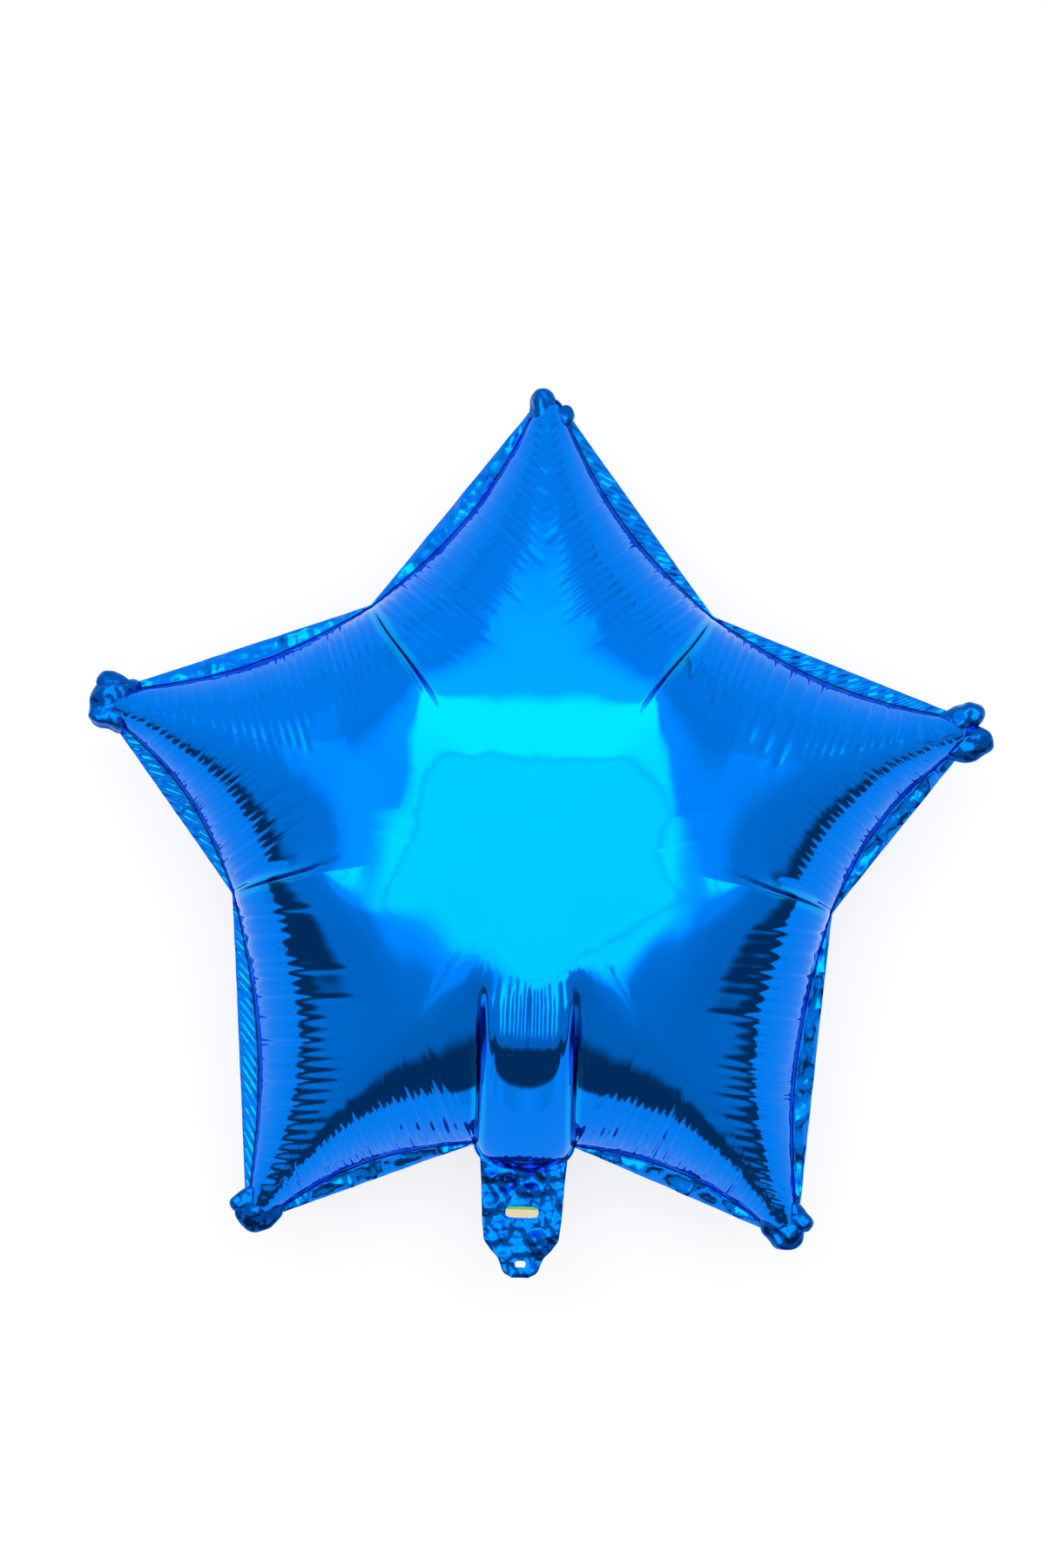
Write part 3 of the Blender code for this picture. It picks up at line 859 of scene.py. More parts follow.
class Envelope:
    """The two inflated sheets and the flange as one closed skin."""

    def __init__(self, outline: StarOutline, height: float) -> None:
        """Works out the columns.

        Args:
            outline: Columns in plan, and how the sheets roll over.
            height: Height of the flange's plane above the floor.
        """
        self.dome, self.flange, self.puckers = Dome(), FlangeSizes(), PuckerSizes()
        self.slack, self.creases, self.neck = SlackSizes(), CreaseSizes(), NeckSizes()
        self.counts, self.star, self.roll, self.height = outline.counts, outline.plan, outline.roll, height
        self.columns = outline.columns()
        seam = self.columns.seam
        tangent = np.roll(seam, -1, axis=0) - np.roll(seam, 1, axis=0)
        tangent /= np.linalg.norm(tangent, axis=1)[:, None]
        self.outward = np.column_stack([-tangent[:, 1], tangent[:, 0]])
        steps = np.linalg.norm(np.roll(seam, -1, axis=0) - seam, axis=1)
        self.place = np.concatenate([[0], np.cumsum(steps)[:-1]])
        flange, phase, strength = self.flange, self.columns.phase, self.columns.strength
        random = np.random.default_rng(SEEDS.ripple)
        count = int(phase.max()) + SPARE_DRAWS
        knots = random.uniform(-1, 1, count)
        self.ripple = flange.ripple * strength * np.interp(phase, np.arange(count), knots)
        self.roped = np.isin(self.columns.edge, flange.roped_edges) * strength
        swell = random.uniform(0, 1, count // flange.swell_gathers + 2)
        swell = np.interp(phase / flange.swell_gathers, np.arange(len(swell)), swell)
        self.gathering = strength * (flange.least_gathers + (1 - flange.least_gathers) * swell)

    def sheet(self, turns: np.ndarray, seed: int) -> tuple[np.ndarray, np.ndarray]:
        """Points of a sheet above its seam.

        Each column is a cubic curve in plan through its knees, and climbs by its roll. The centre takes
        the dome's height, a crease the height of the arms beside it, and the neck its own. Then the
        gathers sink in square to the roll, and the folds and the neck's gathers straight down.

        Args:
            turns: Angle of each row, from 0 at the seam to a quarter turn at the ridge.
            seed: Start of the random numbers.

        Returns:
            The points (columns by rows by 3), and three numbers for each: its distance inwards from the
            seam in plan, how deep in a fold it lies from 0 to 1, which sets the painted shade there, and how
            far it faces the other side of a crease from 0 to 1, which sets the paler painted reflection
            there.
        """
        columns, dome = self.columns, self.dome
        t = (1 - np.cos(turns))[None, :]
        lines = (columns.seam, columns.knee, columns.second_knee, columns.end)
        weights = ((1 - t) ** 3, 3 * t * (1 - t) ** 2, 3 * t ** 2 * (1 - t), t ** 3)
        plan = sum(weight[..., None] * line[:, None, :] for weight, line in zip(weights, lines))
        ahead = columns.end - columns.second_knee
        ahead /= np.linalg.norm(ahead, axis=1)[:, None]
        length = np.linalg.norm(columns.end - columns.seam, axis=1)
        top = dome.height_at(columns.end)[:, None]
        climb = (dome.slope_at(columns.end, ahead) * length)[:, None]
        height = (top - climb) * self.roll.share(t, columns.power[:, None]) + climb * t
        height += columns.crease[:, None] * (self.crease_height(plan) - height)
        height = np.where(columns.edge[:, None] >= NECK_EDGE, self.neck_height(plan), height)
        radius = np.linalg.norm(plan, axis=-1)
        centre = 1 - smooth_step(columns.smooth[:, :1], columns.smooth[:, 1:], radius)
        height += centre * (dome.height_at(plan) - height)
        steps = np.linalg.norm(np.diff(np.dstack([plan, height]), axis=1), axis=2)
        distance = np.pad(np.cumsum(steps, axis=1), ((0, 0), (1, 0)))

        inset = np.einsum("ijk,ik->ij", columns.seam[:, None, :] - plan, self.outward)
        gathers = Puckers(self.puckers, columns.phase, seed).at(distance) * self.gathering[:, None]
        plan = plan - self.outward[:, None, :] * (gathers * np.cos(turns))[..., None]
        height = height - gathers * np.sin(turns)
        slit, vee = self.slit(plan)
        height -= slit + self.neck_gathers(plan)
        inner = smooth_step(0.0, self.slack.onset, distance)
        waves = Waves(self.slack.wavelength, self.slack.count, seed + 1)
        height += inner * self.slack.depth * waves.at(plan)
        height += self.ripple[:, None] * np.exp(-distance / self.flange.ripple_reach)
        height += self.flange.thickness / 2
        # Painted shade: how far a fold darkens the foil's colour, from 0 to 1, by its depth.
        hollow = smooth_step(*(share * self.creases.depth for share in self.creases.hollow), slit)
        sheet = self.slid(np.dstack([plan, height, inset, hollow, vee]), t[0])
        return sheet[..., :3], sheet[..., 3:]

    def slid(self, values: np.ndarray, t: np.ndarray) -> np.ndarray:
        """Values of a sheet, sampled again along the seam so that the two halves of each arm meet.

        Args:
            values: Values for each column and row.
            t: Share of the way in of each row.

        Returns:
            The values at column number + slide * t^4. The last row is the mean of both partners.
        """
        columns, count = self.columns, len(values)
        place = np.arange(count)[:, None] + np.outer(columns.slide, t ** 4)
        low = np.floor(place).astype(int)
        part = (place - low)[..., None]
        row = np.arange(len(t))
        values = (1 - part) * values[low % count, row] + part * values[(low + 1) % count, row]
        partner = (np.arange(count) + columns.partner) % count
        values[:, -1] = (values[:, -1] + values[partner, -1]) / 2
        return values

    def slit(self, plan: np.ndarray) -> tuple[np.ndarray, np.ndarray]:
        """Depth of the narrow folds along each notch's crease.

        A fold is share * (1 - gap / width)^2 deep, its line bends to one side and back by a sine wave,
        and beside the neck it is longer by neck_reach.

        Args:
            plan: Points in plan (columns by rows by 2).

        Returns:
            The depth of the deepest fold, and how near the point lies to the crease, from 0 to 1, which sets
            the paler painted reflection there.
        """
        sizes, fan = self.creases, self.counts.fan
        depth, vee = np.zeros(plan.shape[:2]), np.zeros(plan.shape[:2])
        for number, column in enumerate(np.flatnonzero(self.columns.crease == 1.0)):
            near = np.arange(column - 2 * fan, column + 2 * fan + 1) % len(plan)
            ahead = self.columns.knee[column] - self.columns.seam[column]
            ahead /= np.linalg.norm(ahead)
            at_neck = self.star.at_neck(self.columns.seam[column, 0])
            away = plan[near] - plan[column, 0]
            inwards = away @ ahead / (sizes.neck_reach if at_neck else 1.0)
            aside = away @ np.array([-ahead[1], ahead[0]])
            aside -= sizes.bend * (-1) ** number * np.sin(2 * math.pi * inwards / sizes.bend_length)
            # Painted reflection: the strip beside the crease where the foil's colour is made paler.
            close = 1 - smooth_step(sizes.vee_core * sizes.vee_width, sizes.vee_width, np.abs(aside))
            vee[near] = np.maximum(vee[near], close * (1 - smooth_step(*sizes.vee_end, inwards)))
            for fold in sizes.folds:
                fade = smooth_step(fold.start - sizes.early, fold.start + sizes.ends, inwards)
                fade *= 1 - smooth_step(fold.end - sizes.last_share * sizes.ends, fold.end, inwards)
                gap = np.abs(aside - fold.place * (-1) ** number * smooth_step(0, fold.end, inwards))
                sunk = sizes.depth * fold.share * np.clip(1 - gap / fold.width, 0, 1) ** 2 * fade
                depth[near] = np.maximum(depth[near], sunk)
        return depth, vee

    def neck_height(self, plan: np.ndarray) -> np.ndarray:
        """Height of the neck, a wide tube that falls from the star's middle to its seal.

        Args:
            plan: Points in plan (columns by rows by 2).

        Returns:
            middle + (crease - middle) * side^side_power. The middle climbs to the top with the given
            slopes, as t runs along Y from 0 at the seal to 1 at the top of the neck; crease is the arm's
            height at the same share of the neck's crease; and side runs from 0 in the middle to 1 at the
            creases.
        """
        star, columns, neck = self.star, self.columns, self.neck
        corner = np.array(star.neck_notch)
        side = np.clip(np.abs(plan[..., 0] / corner[0]), 0, 1)
        foot = corner[1] + (star.neck_seal - corner[1]) * np.sqrt(1 - side ** 2)
        t = np.clip((plan[..., 1] - foot) / (-star.neck_top - foot), 0, 1)
        top = self.dome.height_at(np.array([0.0, -star.neck_top]))
        shares = np.linspace(0, 1, neck.crease_steps) ** 2
        line = corner * (-1, 1) + np.outer(shares, (0.0, -star.neck_top - corner[1]))
        beside = np.flatnonzero((columns.crease == 1.0) & (columns.edge == self.roll.lower_edges[1]))[0]
        crease = self.crease_height(np.tile(line, (len(columns.seam), 1, 1)))[beside]
        steps = np.linspace(0, 1, neck.slope_steps)
        climbs = np.cumsum(np.interp(steps, *np.array(neck.slopes).T))
        middle = top * np.interp(t, steps, (climbs - climbs[0]) / (climbs[-1] - climbs[0]))
        return middle + (np.interp(t, shares, crease) - middle) * side ** neck.side_power

    def neck_gathers(self, plan: np.ndarray) -> np.ndarray:
        """Depth of the upright gathers where the neck leaves the star's middle.

        Args:
            plan: Points in plan (columns by rows by 2).

        Returns:
            depth * (1 - 2 * |distance to the nearest gather|)^2, in gathers, inside their window.
        """
        neck = self.neck
        x, y = plan[..., 0], plan[..., 1]
        phase = x / neck.pitch + neck.sway * np.sin(x / neck.sway_length)
        valley = (1 - 2 * np.abs(phase - np.round(phase))) ** 2.0
        window = (smooth_step(*neck.bottom, y) * (1 - smooth_step(*neck.top, y))
                  * (1 - smooth_step(*neck.side, np.abs(x))))
        return neck.depth * valley * window

    def crease_height(self, plan: np.ndarray) -> np.ndarray:
        """Height near a notch, where each arm's roll runs on straight until it meets the next one's.

        The line through a point, square to the arm's edge, meets the edge at a distance behind it and
        the arm's axis at a distance ahead of it. The share of the way is behind / (behind + ahead).

        Args:
            plan: Points in plan (columns by rows by 2).

        Returns:
            The height of the roll at that share.
        """
        columns = self.columns
        normal, axis = columns.edge_normal, columns.axis
        across = np.column_stack([-axis[:, 1], axis[:, 0]])
        behind = np.einsum("ijk,ik->ij", plan - columns.edge_point[:, None, :], normal)
        lean = np.einsum("ik,ik->i", normal, across)
        ahead = -np.einsum("ijk,ik->ij", plan, across) / np.where(np.abs(lean) < 1e-6, 1.0, lean)[:, None]
        ridge = (np.einsum("ijk,ik->ij", plan, axis)
                 + ahead * np.einsum("ik,ik->i", normal, axis)[:, None])
        length = np.maximum(behind + ahead, 1e-6)
        share = np.clip(behind / length, 0, 1)
        foot = ridge[..., None] * axis[:, None, :]
        top = self.dome.height_at(foot)
        climb = self.dome.slope_at(foot, normal[:, None, :]) * length
        return (top - climb) * self.roll.share(share, columns.power[:, None]) + climb * share

    def flange_rows(self, shares: np.ndarray) -> np.ndarray:
        """Points of the middle of the flange's film.

        Args:
            shares: Share of the flange's width of each row, outwards from the seam.

        Returns:
            The points (columns by rows by 3). Their height is ripple * (1 + share) - droop * bow * share,
            plus the crumple's facets times the root of the share.
        """
        columns, sizes = self.columns, self.flange
        width = sizes.lip + columns.bow
        plan = columns.seam[:, None, :] + self.outward[:, None, :] * np.outer(width, shares)[..., None]
        free = columns.strength[:, None] * np.sqrt(shares)[None, :]
        crumple = sizes.crumple * free * Facets(sizes.facet_length, sizes.facet_count, SEEDS.flange).at(plan)
        droop = -sizes.droop * np.outer(columns.bow, shares)
        kept = np.where(self.roped[:, None] > 0, sizes.roped_share, 1.0)
        return np.dstack([plan, self.ripple[:, None] * (1 + shares) + droop + kept * crumple])

    def build(self, name: str, finish: bpy.types.Material) -> bpy.types.Object:
        """Builds the skin as one closed mesh, from the back's ridges round the flange to the front's.

        Args:
            name: Name of the object.
            finish: Its foil.

        Returns:
            The object, with the attributes place, inset, hollow, vee and roped for its finish. Hollow sets
            the painted shade in the folds, and vee the paler painted reflection beside the creases.
        """
        counts = self.counts
        quarter = math.pi / 2
        edge_turns = np.linspace(0, counts.edge_share * quarter, counts.edge_rows)
        inner_turns = np.linspace(counts.edge_share * quarter, quarter, counts.inner_rows + 1)[1:]
        front, front_marks = self.sheet(np.concatenate([edge_turns, inner_turns]), SEEDS.front)
        back, back_marks = self.sheet(np.linspace(0, quarter, counts.back_rows), SEEDS.back)
        shares = np.linspace(1, 0, counts.flange_rows)
        flange = self.flange_rows(shares)
        half = np.array([0, 0, self.flange.thickness / 2])
        widths = np.outer(self.flange.lip + self.columns.bow, -shares)
        flange_marks = np.dstack([widths, np.zeros_like(widths), np.zeros_like(widths)])

        rings = []
        marks = {"place": [], "inset": [], "hollow": [], "vee": [], "roped": []}

        def add(points: np.ndarray, given: np.ndarray, step: int) -> None:
            """Keeps every so many points of a ring, with their numbers."""
            rings.append((points + (0, 0, self.height))[::step])
            for values, kept in zip((self.place, *given.T, self.roped), marks.values()):
                kept.append(values[::step])

        for row in range(counts.back_rows - 1, 0, -1):
            add(back[:, row] * (1, 1, -1), back_marks[:, row], 2)
        for row in range(counts.flange_rows - 1, -1, -1):
            add(flange[:, row] - half, flange_marks[:, row], 1)
        for row in range(counts.flange_rows - 1):
            add(flange[:, row] + half, flange_marks[:, row], 1)
        for row in range(front.shape[1]):
            add(front[:, row], front_marks[:, row], 1 if row < counts.edge_rows else 2)
        mesh = closed_mesh(name, rings, marks)
        points = np.empty(len(mesh.vertices) * 3, np.float32)
        mesh.vertices.foreach_get("co", points)
        points = points.reshape(-1, 3)
        points[:, 2] = np.maximum(points[:, 2], 0.0)
        mesh.vertices.foreach_set("co", points.ravel())
        return dressed(add_object(name, mesh), finish)


@dataclass(frozen=True)
class Lobe:
    """One rounded lobe of folded film at a tip.

    Lengths are half sizes in metres. The place is how far the lobe's middle is from the star's centre
    along the arm and from the arm's axis, and the turn is in degrees from the arm's direction.
    """

    length: float
    width: float
    thickness: float
    along: float
    aside: float = 0.0
    turn: float = 0.0
    lift: float = 0.0
    crumple: float = 0.0006


@dataclass(frozen=True)
class LobeForm:
    """What all lobes share: rows and sides, a power that squares them off, and their facets' sizes.

    The facets are pairs of the range of wavelengths, in metres, and their count: seen from above, and
    seen along the lobe.
    """

    rows: int = 28
    sides: int = 48
    power: float = 0.9
    above: tuple[tuple[float, float], int] = ((0.006, 0.014), 6)
    along: tuple[tuple[float, float], int] = ((0.006, 0.012), 4)


TIP_LOBES = (
    (Lobe(0.0120, 0.0066, 0.0060, 0.2080, 0.0022, 8), Lobe(0.0090, 0.0055, 0.0045, 0.2040, -0.0060, -24)),
    (Lobe(0.0130, 0.0066, 0.0060, 0.2100, 0.0056, 6), Lobe(0.0125, 0.0082, 0.0055, 0.2105, -0.0062, -8)),
    (Lobe(0.0120, 0.0085, 0.0045, 0.2105, -0.0010, 8), Lobe(0.0100, 0.0055, 0.0040, 0.2090, 0.0066, 20)),
    (Lobe(0.0120, 0.0100, 0.0050, 0.2100, 0.0000, -8), Lobe(0.0100, 0.0050, 0.0042, 0.2090, -0.0070, -25)),
    (Lobe(0.0125, 0.0135, 0.0065, 0.2095, 0.0000, 0, 0.0, 0.0012),
     Lobe(0.0110, 0.0070, 0.0055, 0.2110, -0.0070, -16)),
)


class TipFold:
    """Folded film at the end of an arm."""

    def __init__(self, number: int, lobes: tuple[Lobe, ...], height: float) -> None:
        """Keeps the arm's number, clockwise from the top, its lobes and the flange's height."""
        self.number, self.lobes, self.height = number, lobes, height
        self.form = LobeForm()
        self.angle = UP - number * 2 * math.pi / StarPlan.arms

    def lobe(self, lobe: Lobe, seed: int) -> bpy.types.Mesh:
        """A lobe as a crumpled, flattened ball.

        Args:
            lobe: Sizes and place of the lobe.
            seed: Start of the random numbers.

        Returns:
            A mesh of rings round the lobe's length. A point is sign(b) * |b|^power of the ball's point b,
            times the half sizes, moved outwards by the crumple's facets.
        """
        form = self.form
        turns = np.linspace(0, math.pi, form.rows)[:, None]
        around = np.linspace(0, 2 * math.pi, form.sides, endpoint=False)[None, :]
        ball = np.stack([np.cos(turns) * np.ones_like(around), np.sin(turns) * np.cos(around),
                         np.sin(turns) * np.sin(around)], axis=-1)
        ball = np.sign(ball) * np.abs(ball) ** form.power
        body = ball * (lobe.length, lobe.width, lobe.thickness)
        crease = Facets(*form.above, seed).at(body[..., :2]) + Facets(*form.along, seed + 1).at(body[..., 1:])
        body = body + ball * (lobe.crumple * np.sin(turns) * crease)[..., None]
        lean = self.angle + math.radians(lobe.turn)
        spin = np.array([[math.cos(lean), -math.sin(lean)], [math.sin(lean), math.cos(lean)]])
        axis = unit(self.angle)
        across = np.array([-axis[1], axis[0]])
        plan = body[..., :2] @ spin.T + axis * lobe.along + across * lobe.aside
        points = np.dstack([plan, body[..., 2] + self.height + lobe.lift])
        return closed_mesh("lobe", list(points), {})

    def build(self, name: str, finish: bpy.types.Material) -> bpy.types.Object:
        """Joins the lobes into one piece.

        Args:
            name: Name of the object.
            finish: Its foil.

        Returns:
            The object.
        """
        shaped = bmesh.new()
        for index, lobe in enumerate(self.lobes):
            mesh = self.lobe(lobe, SEEDS.tip + SEEDS.tip_step * self.number + index)
            shaped.from_mesh(mesh)
            bpy.data.meshes.remove(mesh)
        mesh = bpy.data.meshes.new(name)
        shaped.to_mesh(mesh)
        shaped.free()
        mesh.shade_smooth()
        return dressed(add_object(name, mesh), finish)


@dataclass(frozen=True)
class TailSizes:
    """Sizes of the tail of flat film, in metres.

    Stations are places along Y and half widths there. The film is flat near the slot and the hole, over
    flat_reach. The slot counts as stretched, and the hole as further off by hole_ease.
    """

    stations: tuple[tuple[float, float], ...] = (
        (-0.1320, 0.0215), (-0.1480, 0.0202), (-0.1550, 0.0196), (-0.1710, 0.0188), (-0.1815, 0.0176),
        (-0.1865, 0.0140), (-0.1890, 0.0110), (-0.1930, 0.0094), (-0.1965, 0.0082), (-0.1982, 0.0060),
        (-0.1990, 0.0025),
    )
    rows: int = 110
    columns: int = 61
    thickness: float = 0.0010
    side_power: int = 8
    end_rows: int = 3
    crumple: float = 0.0011
    facet_length: tuple[float, float] = (0.007, 0.020)
    facet_count: int = 8
    flat_reach: tuple[float, float] = (0.005, 0.010)
    slot_stretch: tuple[float, float] = (1.6, 1.0)
    hole_ease: float = 0.003
    slot_y: float = -0.1680
    slot_size: tuple[float, float] = (0.0160, 0.0058)
    slot_floor: float = -0.0001
    hole_y: float = -0.1925
    hole_size: tuple[float, float] = (0.0050, 0.0032)
    block_sides: int = 40
    cut_reach: float = 0.01
    film_inset: float = 0.0002
    film_sink: float = 0.0002
    film_thickness: float = 0.0003


class Tail:
    """Crumpled tail with its fill slot, end hole and valve film."""

    def __init__(self, sizes: TailSizes, height: float) -> None:
        """Keeps the sizes and the flange's height."""
        self.sizes, self.height = sizes, height

    def film_height(self, plan: np.ndarray) -> np.ndarray:
        """Height of the film's middle.

        Args:
            plan: Points in plan, as an array whose last axis is X and Y.

        Returns:
            The crumple's facets, and 0 round the slot and the hole.
        """
        sizes = self.sizes
        near = np.minimum(
            np.linalg.norm((plan - (0, sizes.slot_y)) / sizes.slot_stretch, axis=-1),
            np.linalg.norm(plan - (0, sizes.hole_y), axis=-1) + sizes.hole_ease,
        )
        facets = Facets(sizes.facet_length, sizes.facet_count, SEEDS.tail)
        return sizes.crumple * smooth_step(*sizes.flat_reach, near) * facets.at(plan)

    def build_tail(self, name: str, finish: bpy.types.Material) -> bpy.types.Object:
        """Builds the tail, front and back, and cuts the slot and the hole.

        The half thickness is thickness / 2 * (1 - across^side_power)^(1/2), where across runs from -1 to
        1, and it goes to 0 at the tail's end.

        Args:
            name: Name of the object.
            finish: Its foil.

        Returns:
            The object.
        """
        sizes = self.sizes
        along, widths = np.array(sizes.stations).T
        rows = np.linspace(along[0], along[-1], sizes.rows)
        half = np.interp(-rows, -along, widths)
        half = np.convolve(np.pad(half, 2, mode="edge"), np.ones(5) / 5, mode="valid")
        across = np.sin(np.linspace(-UP, UP, sizes.columns))
        plan = half[:, None] * across
        plan = np.stack([plan, np.broadcast_to(rows[:, None], plan.shape)], axis=-1)
        middle = self.film_height(plan)
        ends = np.minimum(1.0, np.arange(sizes.rows)[::-1] / sizes.end_rows)[:, None]
        ends[0] = 0.0
        swell = sizes.thickness / 2 * np.sqrt(np.clip(1 - across ** sizes.side_power, 0, 1)) * ends
        front = np.dstack([plan, middle + swell + self.height])
        back = np.dstack([plan, middle - swell + self.height])
        rings = list(np.concatenate([front, back[:, -2:0:-1]], axis=1))
        tail = add_object(name, closed_mesh(name, rings, {}))
        floor, reach = self.height + sizes.slot_floor, sizes.cut_reach
        slot, hole = np.array(sizes.slot_size) / 2, np.array(sizes.hole_size) / 2
        self.cut(tail, self.block("slot", slot, sizes.slot_y, (floor, floor + reach)))
        self.cut(tail, self.block("hole", hole, sizes.hole_y, (floor - reach, floor + reach)))
        return dressed(tail, finish)

    def block(self, name: str, half: np.ndarray, y: float, span: tuple[float, float]) -> bpy.types.Object:
        """An upright block with flat ends and the outline (x / a)^4 + (y / b)^4 = 1.

        Args:
            name: Name of the object.
            half: Half sizes a and b.
            y: Place of its middle along Y.
            span: Heights of its bottom and its top.

        Returns:
            The object.
        """
        count = self.sizes.block_sides
        turns = np.linspace(0, 2 * math.pi, count, endpoint=False)
        circle = np.column_stack([np.cos(turns), np.sin(turns)])
        outline = np.sign(circle) * np.abs(circle) ** 0.5 * half + (0, y)
        bottom, top = span
        rings = [np.column_stack([outline * share + (0, y * (1 - share)), np.full(count, z)])
                 for share, z in ((0, bottom), (1, bottom), (1, top), (0, top))]
        made = add_object(name, closed_mesh(name, rings, {}))
        made.data.shade_flat()
        return made

    def cut(self, target: bpy.types.Object, cutter: bpy.types.Object) -> None:
        """Takes the cutter's form out of the target, and removes the cutter.

        Args:
            target: Object that is cut.
            cutter: Closed form.
        """
        modifier = target.modifiers.new("cut", "BOOLEAN")
        modifier.operation = "DIFFERENCE"
        modifier.object = cutter
        graph = bpy.context.evaluated_depsgraph_get()
        mesh = bpy.data.meshes.new_from_object(target.evaluated_get(graph))
        target.modifiers.remove(modifier)
        target.data = mesh
        bpy.data.objects.remove(cutter)

    def build_film(self, name: str, finish: bpy.types.Material) -> bpy.types.Object:
        """Builds the strip of valve film that shows in the slot.

        Args:
            name: Name of the object.
            finish: Its film.

        Returns:
            The object.
        """
        sizes = self.sizes
        bottom = self.height + sizes.slot_floor - sizes.film_sink
        half = np.array(sizes.slot_size) / 2 - sizes.film_inset
        film = self.block(name, half, sizes.slot_y, (bottom, bottom + sizes.film_thickness))
        return dressed(film, finish)


Value = float | bpy.types.NodeSocket
Colour = tuple[float, float, float] | bpy.types.NodeSocket


class Graph:
    """Builds maths nodes in a node tree."""

    def __init__(self, tree: bpy.types.NodeTree) -> None:
        """Keeps the tree that new nodes go in."""
        self.tree = tree

    def fill(self, socket: bpy.types.NodeSocket, value: Value) -> None:
        """Sets a socket to a number, or links another node's output to it.

        Args:
            socket: Input of a node.
            value: Number or output.
        """
        if isinstance(value, (int, float)):
            socket.default_value = value
        else:
            self.tree.links.new(value, socket)

    def maths(self, operation: str, *values: Value) -> bpy.types.NodeSocket:
        """A maths node.

        Args:
            operation: Blender's name for what it works out.
            values: Its inputs.

        Returns:
            Its output.
        """
        node = self.tree.nodes.new("ShaderNodeMath")
        node.operation = operation
        for socket, value in zip(node.inputs, values):
            self.fill(socket, value)
        return node.outputs[0]

    def attribute(self, name: str) -> bpy.types.NodeSocket:
        """Number that the mesh keeps for each point.

        Args:
            name: Name of the attribute.

        Returns:
            The number.
        """
        node = self.tree.nodes.new("ShaderNodeAttribute")
        node.attribute_name = name
        return node.outputs["Fac"]

    def cells(self, scale: float) -> bpy.types.NodeSocket:
        """Distance to the nearest of some random points.

        Args:
            scale: Number of cells to the metre, with a point in each.

        Returns:
            The distance in cells.
        """
        place = self.tree.nodes.new("ShaderNodeTexCoord")
        node = self.tree.nodes.new("ShaderNodeTexVoronoi")
        node.inputs["Scale"].default_value = scale
        self.tree.links.new(place.outputs["Object"], node.inputs["Vector"])
        return node.outputs["Distance"]

    def bump(self, height: bpy.types.NodeSocket) -> bpy.types.NodeSocket:
        """Normal of a raised surface.

        Args:
            height: How far it is raised, in metres.

        Returns:
            The normal.
        """
        node = self.tree.nodes.new("ShaderNodeBump")
        node.inputs["Distance"].default_value = 1.0
        self.fill(node.inputs["Height"], height)
        return node.outputs["Normal"]

    def mixed(self, share: bpy.types.NodeSocket, first: Colour, second: Colour) -> bpy.types.NodeSocket:
        """A mixture of two colours.

        Args:
            share: Share of the second colour.
            first: The first colour.
            second: The second colour.

        Returns:
            The mixture.
        """
        node = self.tree.nodes.new("ShaderNodeMix")
        node.data_type = "RGBA"
        self.fill(node.inputs[0], share)
        for socket, colour in zip((node.inputs[6], node.inputs[7]), (first, second)):
            if isinstance(colour, tuple):
                socket.default_value = (*colour, 1.0)
            else:
                self.tree.links.new(colour, socket)
        return node.outputs[2]

    def along(self, u: Value, v: Value, angle: float, size: float = 1.0) -> bpy.types.NodeSocket:
        """Length of the point (u, v) along a direction, in units of the size.

        Args:
            u: The point's first number.
            v: Its second number.
            angle: Direction in degrees from +X.
            size: Length of one unit.

        Returns:
            The number.
        """
        axis = unit(math.radians(angle)) / size
        return self.maths("MULTIPLY_ADD", u, float(axis[0]), self.maths("MULTIPLY", v, float(axis[1])))

    def band(self, value: Value, span: tuple[float, float], soft: float) -> bpy.types.NodeSocket:
        """A level that is 1 inside a span and 0 outside it.

        Args:
            value: Number to test.
            span: Its lowest and highest value in the band.
            soft: Width of the band's edges, which lie inside the span.

        Returns:
            The level.
        """
        low, high = span
        start = self.ramp(value, (low, low + soft), (0.0, 1.0))
        return self.maths("MULTIPLY", start, self.ramp(value, (high - soft, high), (1.0, 0.0)))

    def ramp(self, value: Value, span: tuple[float, float],
             levels: tuple[Value, Value]) -> bpy.types.NodeSocket:
        """A level that goes smoothly from one to another as a value crosses a span.

        Args:
            value: Number that crosses the span.
            span: Where the change starts and ends.
            levels: Level before and after it.

        Returns:
            The level, which follows 3t^2 - 2t^3.
        """
        node = self.tree.nodes.new("ShaderNodeMapRange")
        node.interpolation_type = "SMOOTHSTEP"
        for socket, given in zip(node.inputs, (value, *span, *levels)):
            self.fill(socket, given)
        return node.outputs[0]


@dataclass(frozen=True)
class ValveFilm:
    """Matt beige film with a green band along its upper side."""

    name: str = "valve_film"
    colour: tuple[float, float, float] = (0.62, 0.50, 0.30)
    band: tuple[float, float, float] = (0.10, 0.42, 0.05)
    band_from: float = -0.1668
    band_soft: float = 0.0002
    roughness: float = 0.5

    def material(self) -> bpy.types.Material:
        """The finish as a material."""
        made = bpy.data.materials.new(self.name)
        made.use_nodes = True
        nodes, links = made.node_tree.nodes, made.node_tree.links
        shader = nodes["Principled BSDF"]
        shader.inputs["Roughness"].default_value = self.roughness
        place = nodes.new("ShaderNodeTexCoord")
        split = nodes.new("ShaderNodeSeparateXYZ")
        links.new(place.outputs["Object"], split.inputs[0])
        graph = Graph(made.node_tree)
        span = (self.band_from - self.band_soft, self.band_from + self.band_soft)
        step = graph.ramp(split.outputs["Y"], span, (0.0, 1.0))
        graph.fill(shader.inputs["Base Color"], graph.mixed(step, self.colour, self.band))
        return made


class FoilForm(Enum):
    """How foil lies: pulled taut by the filling, or loose and crumpled."""

    TAUT = "taut"
    CRUMPLED = "crumpled"


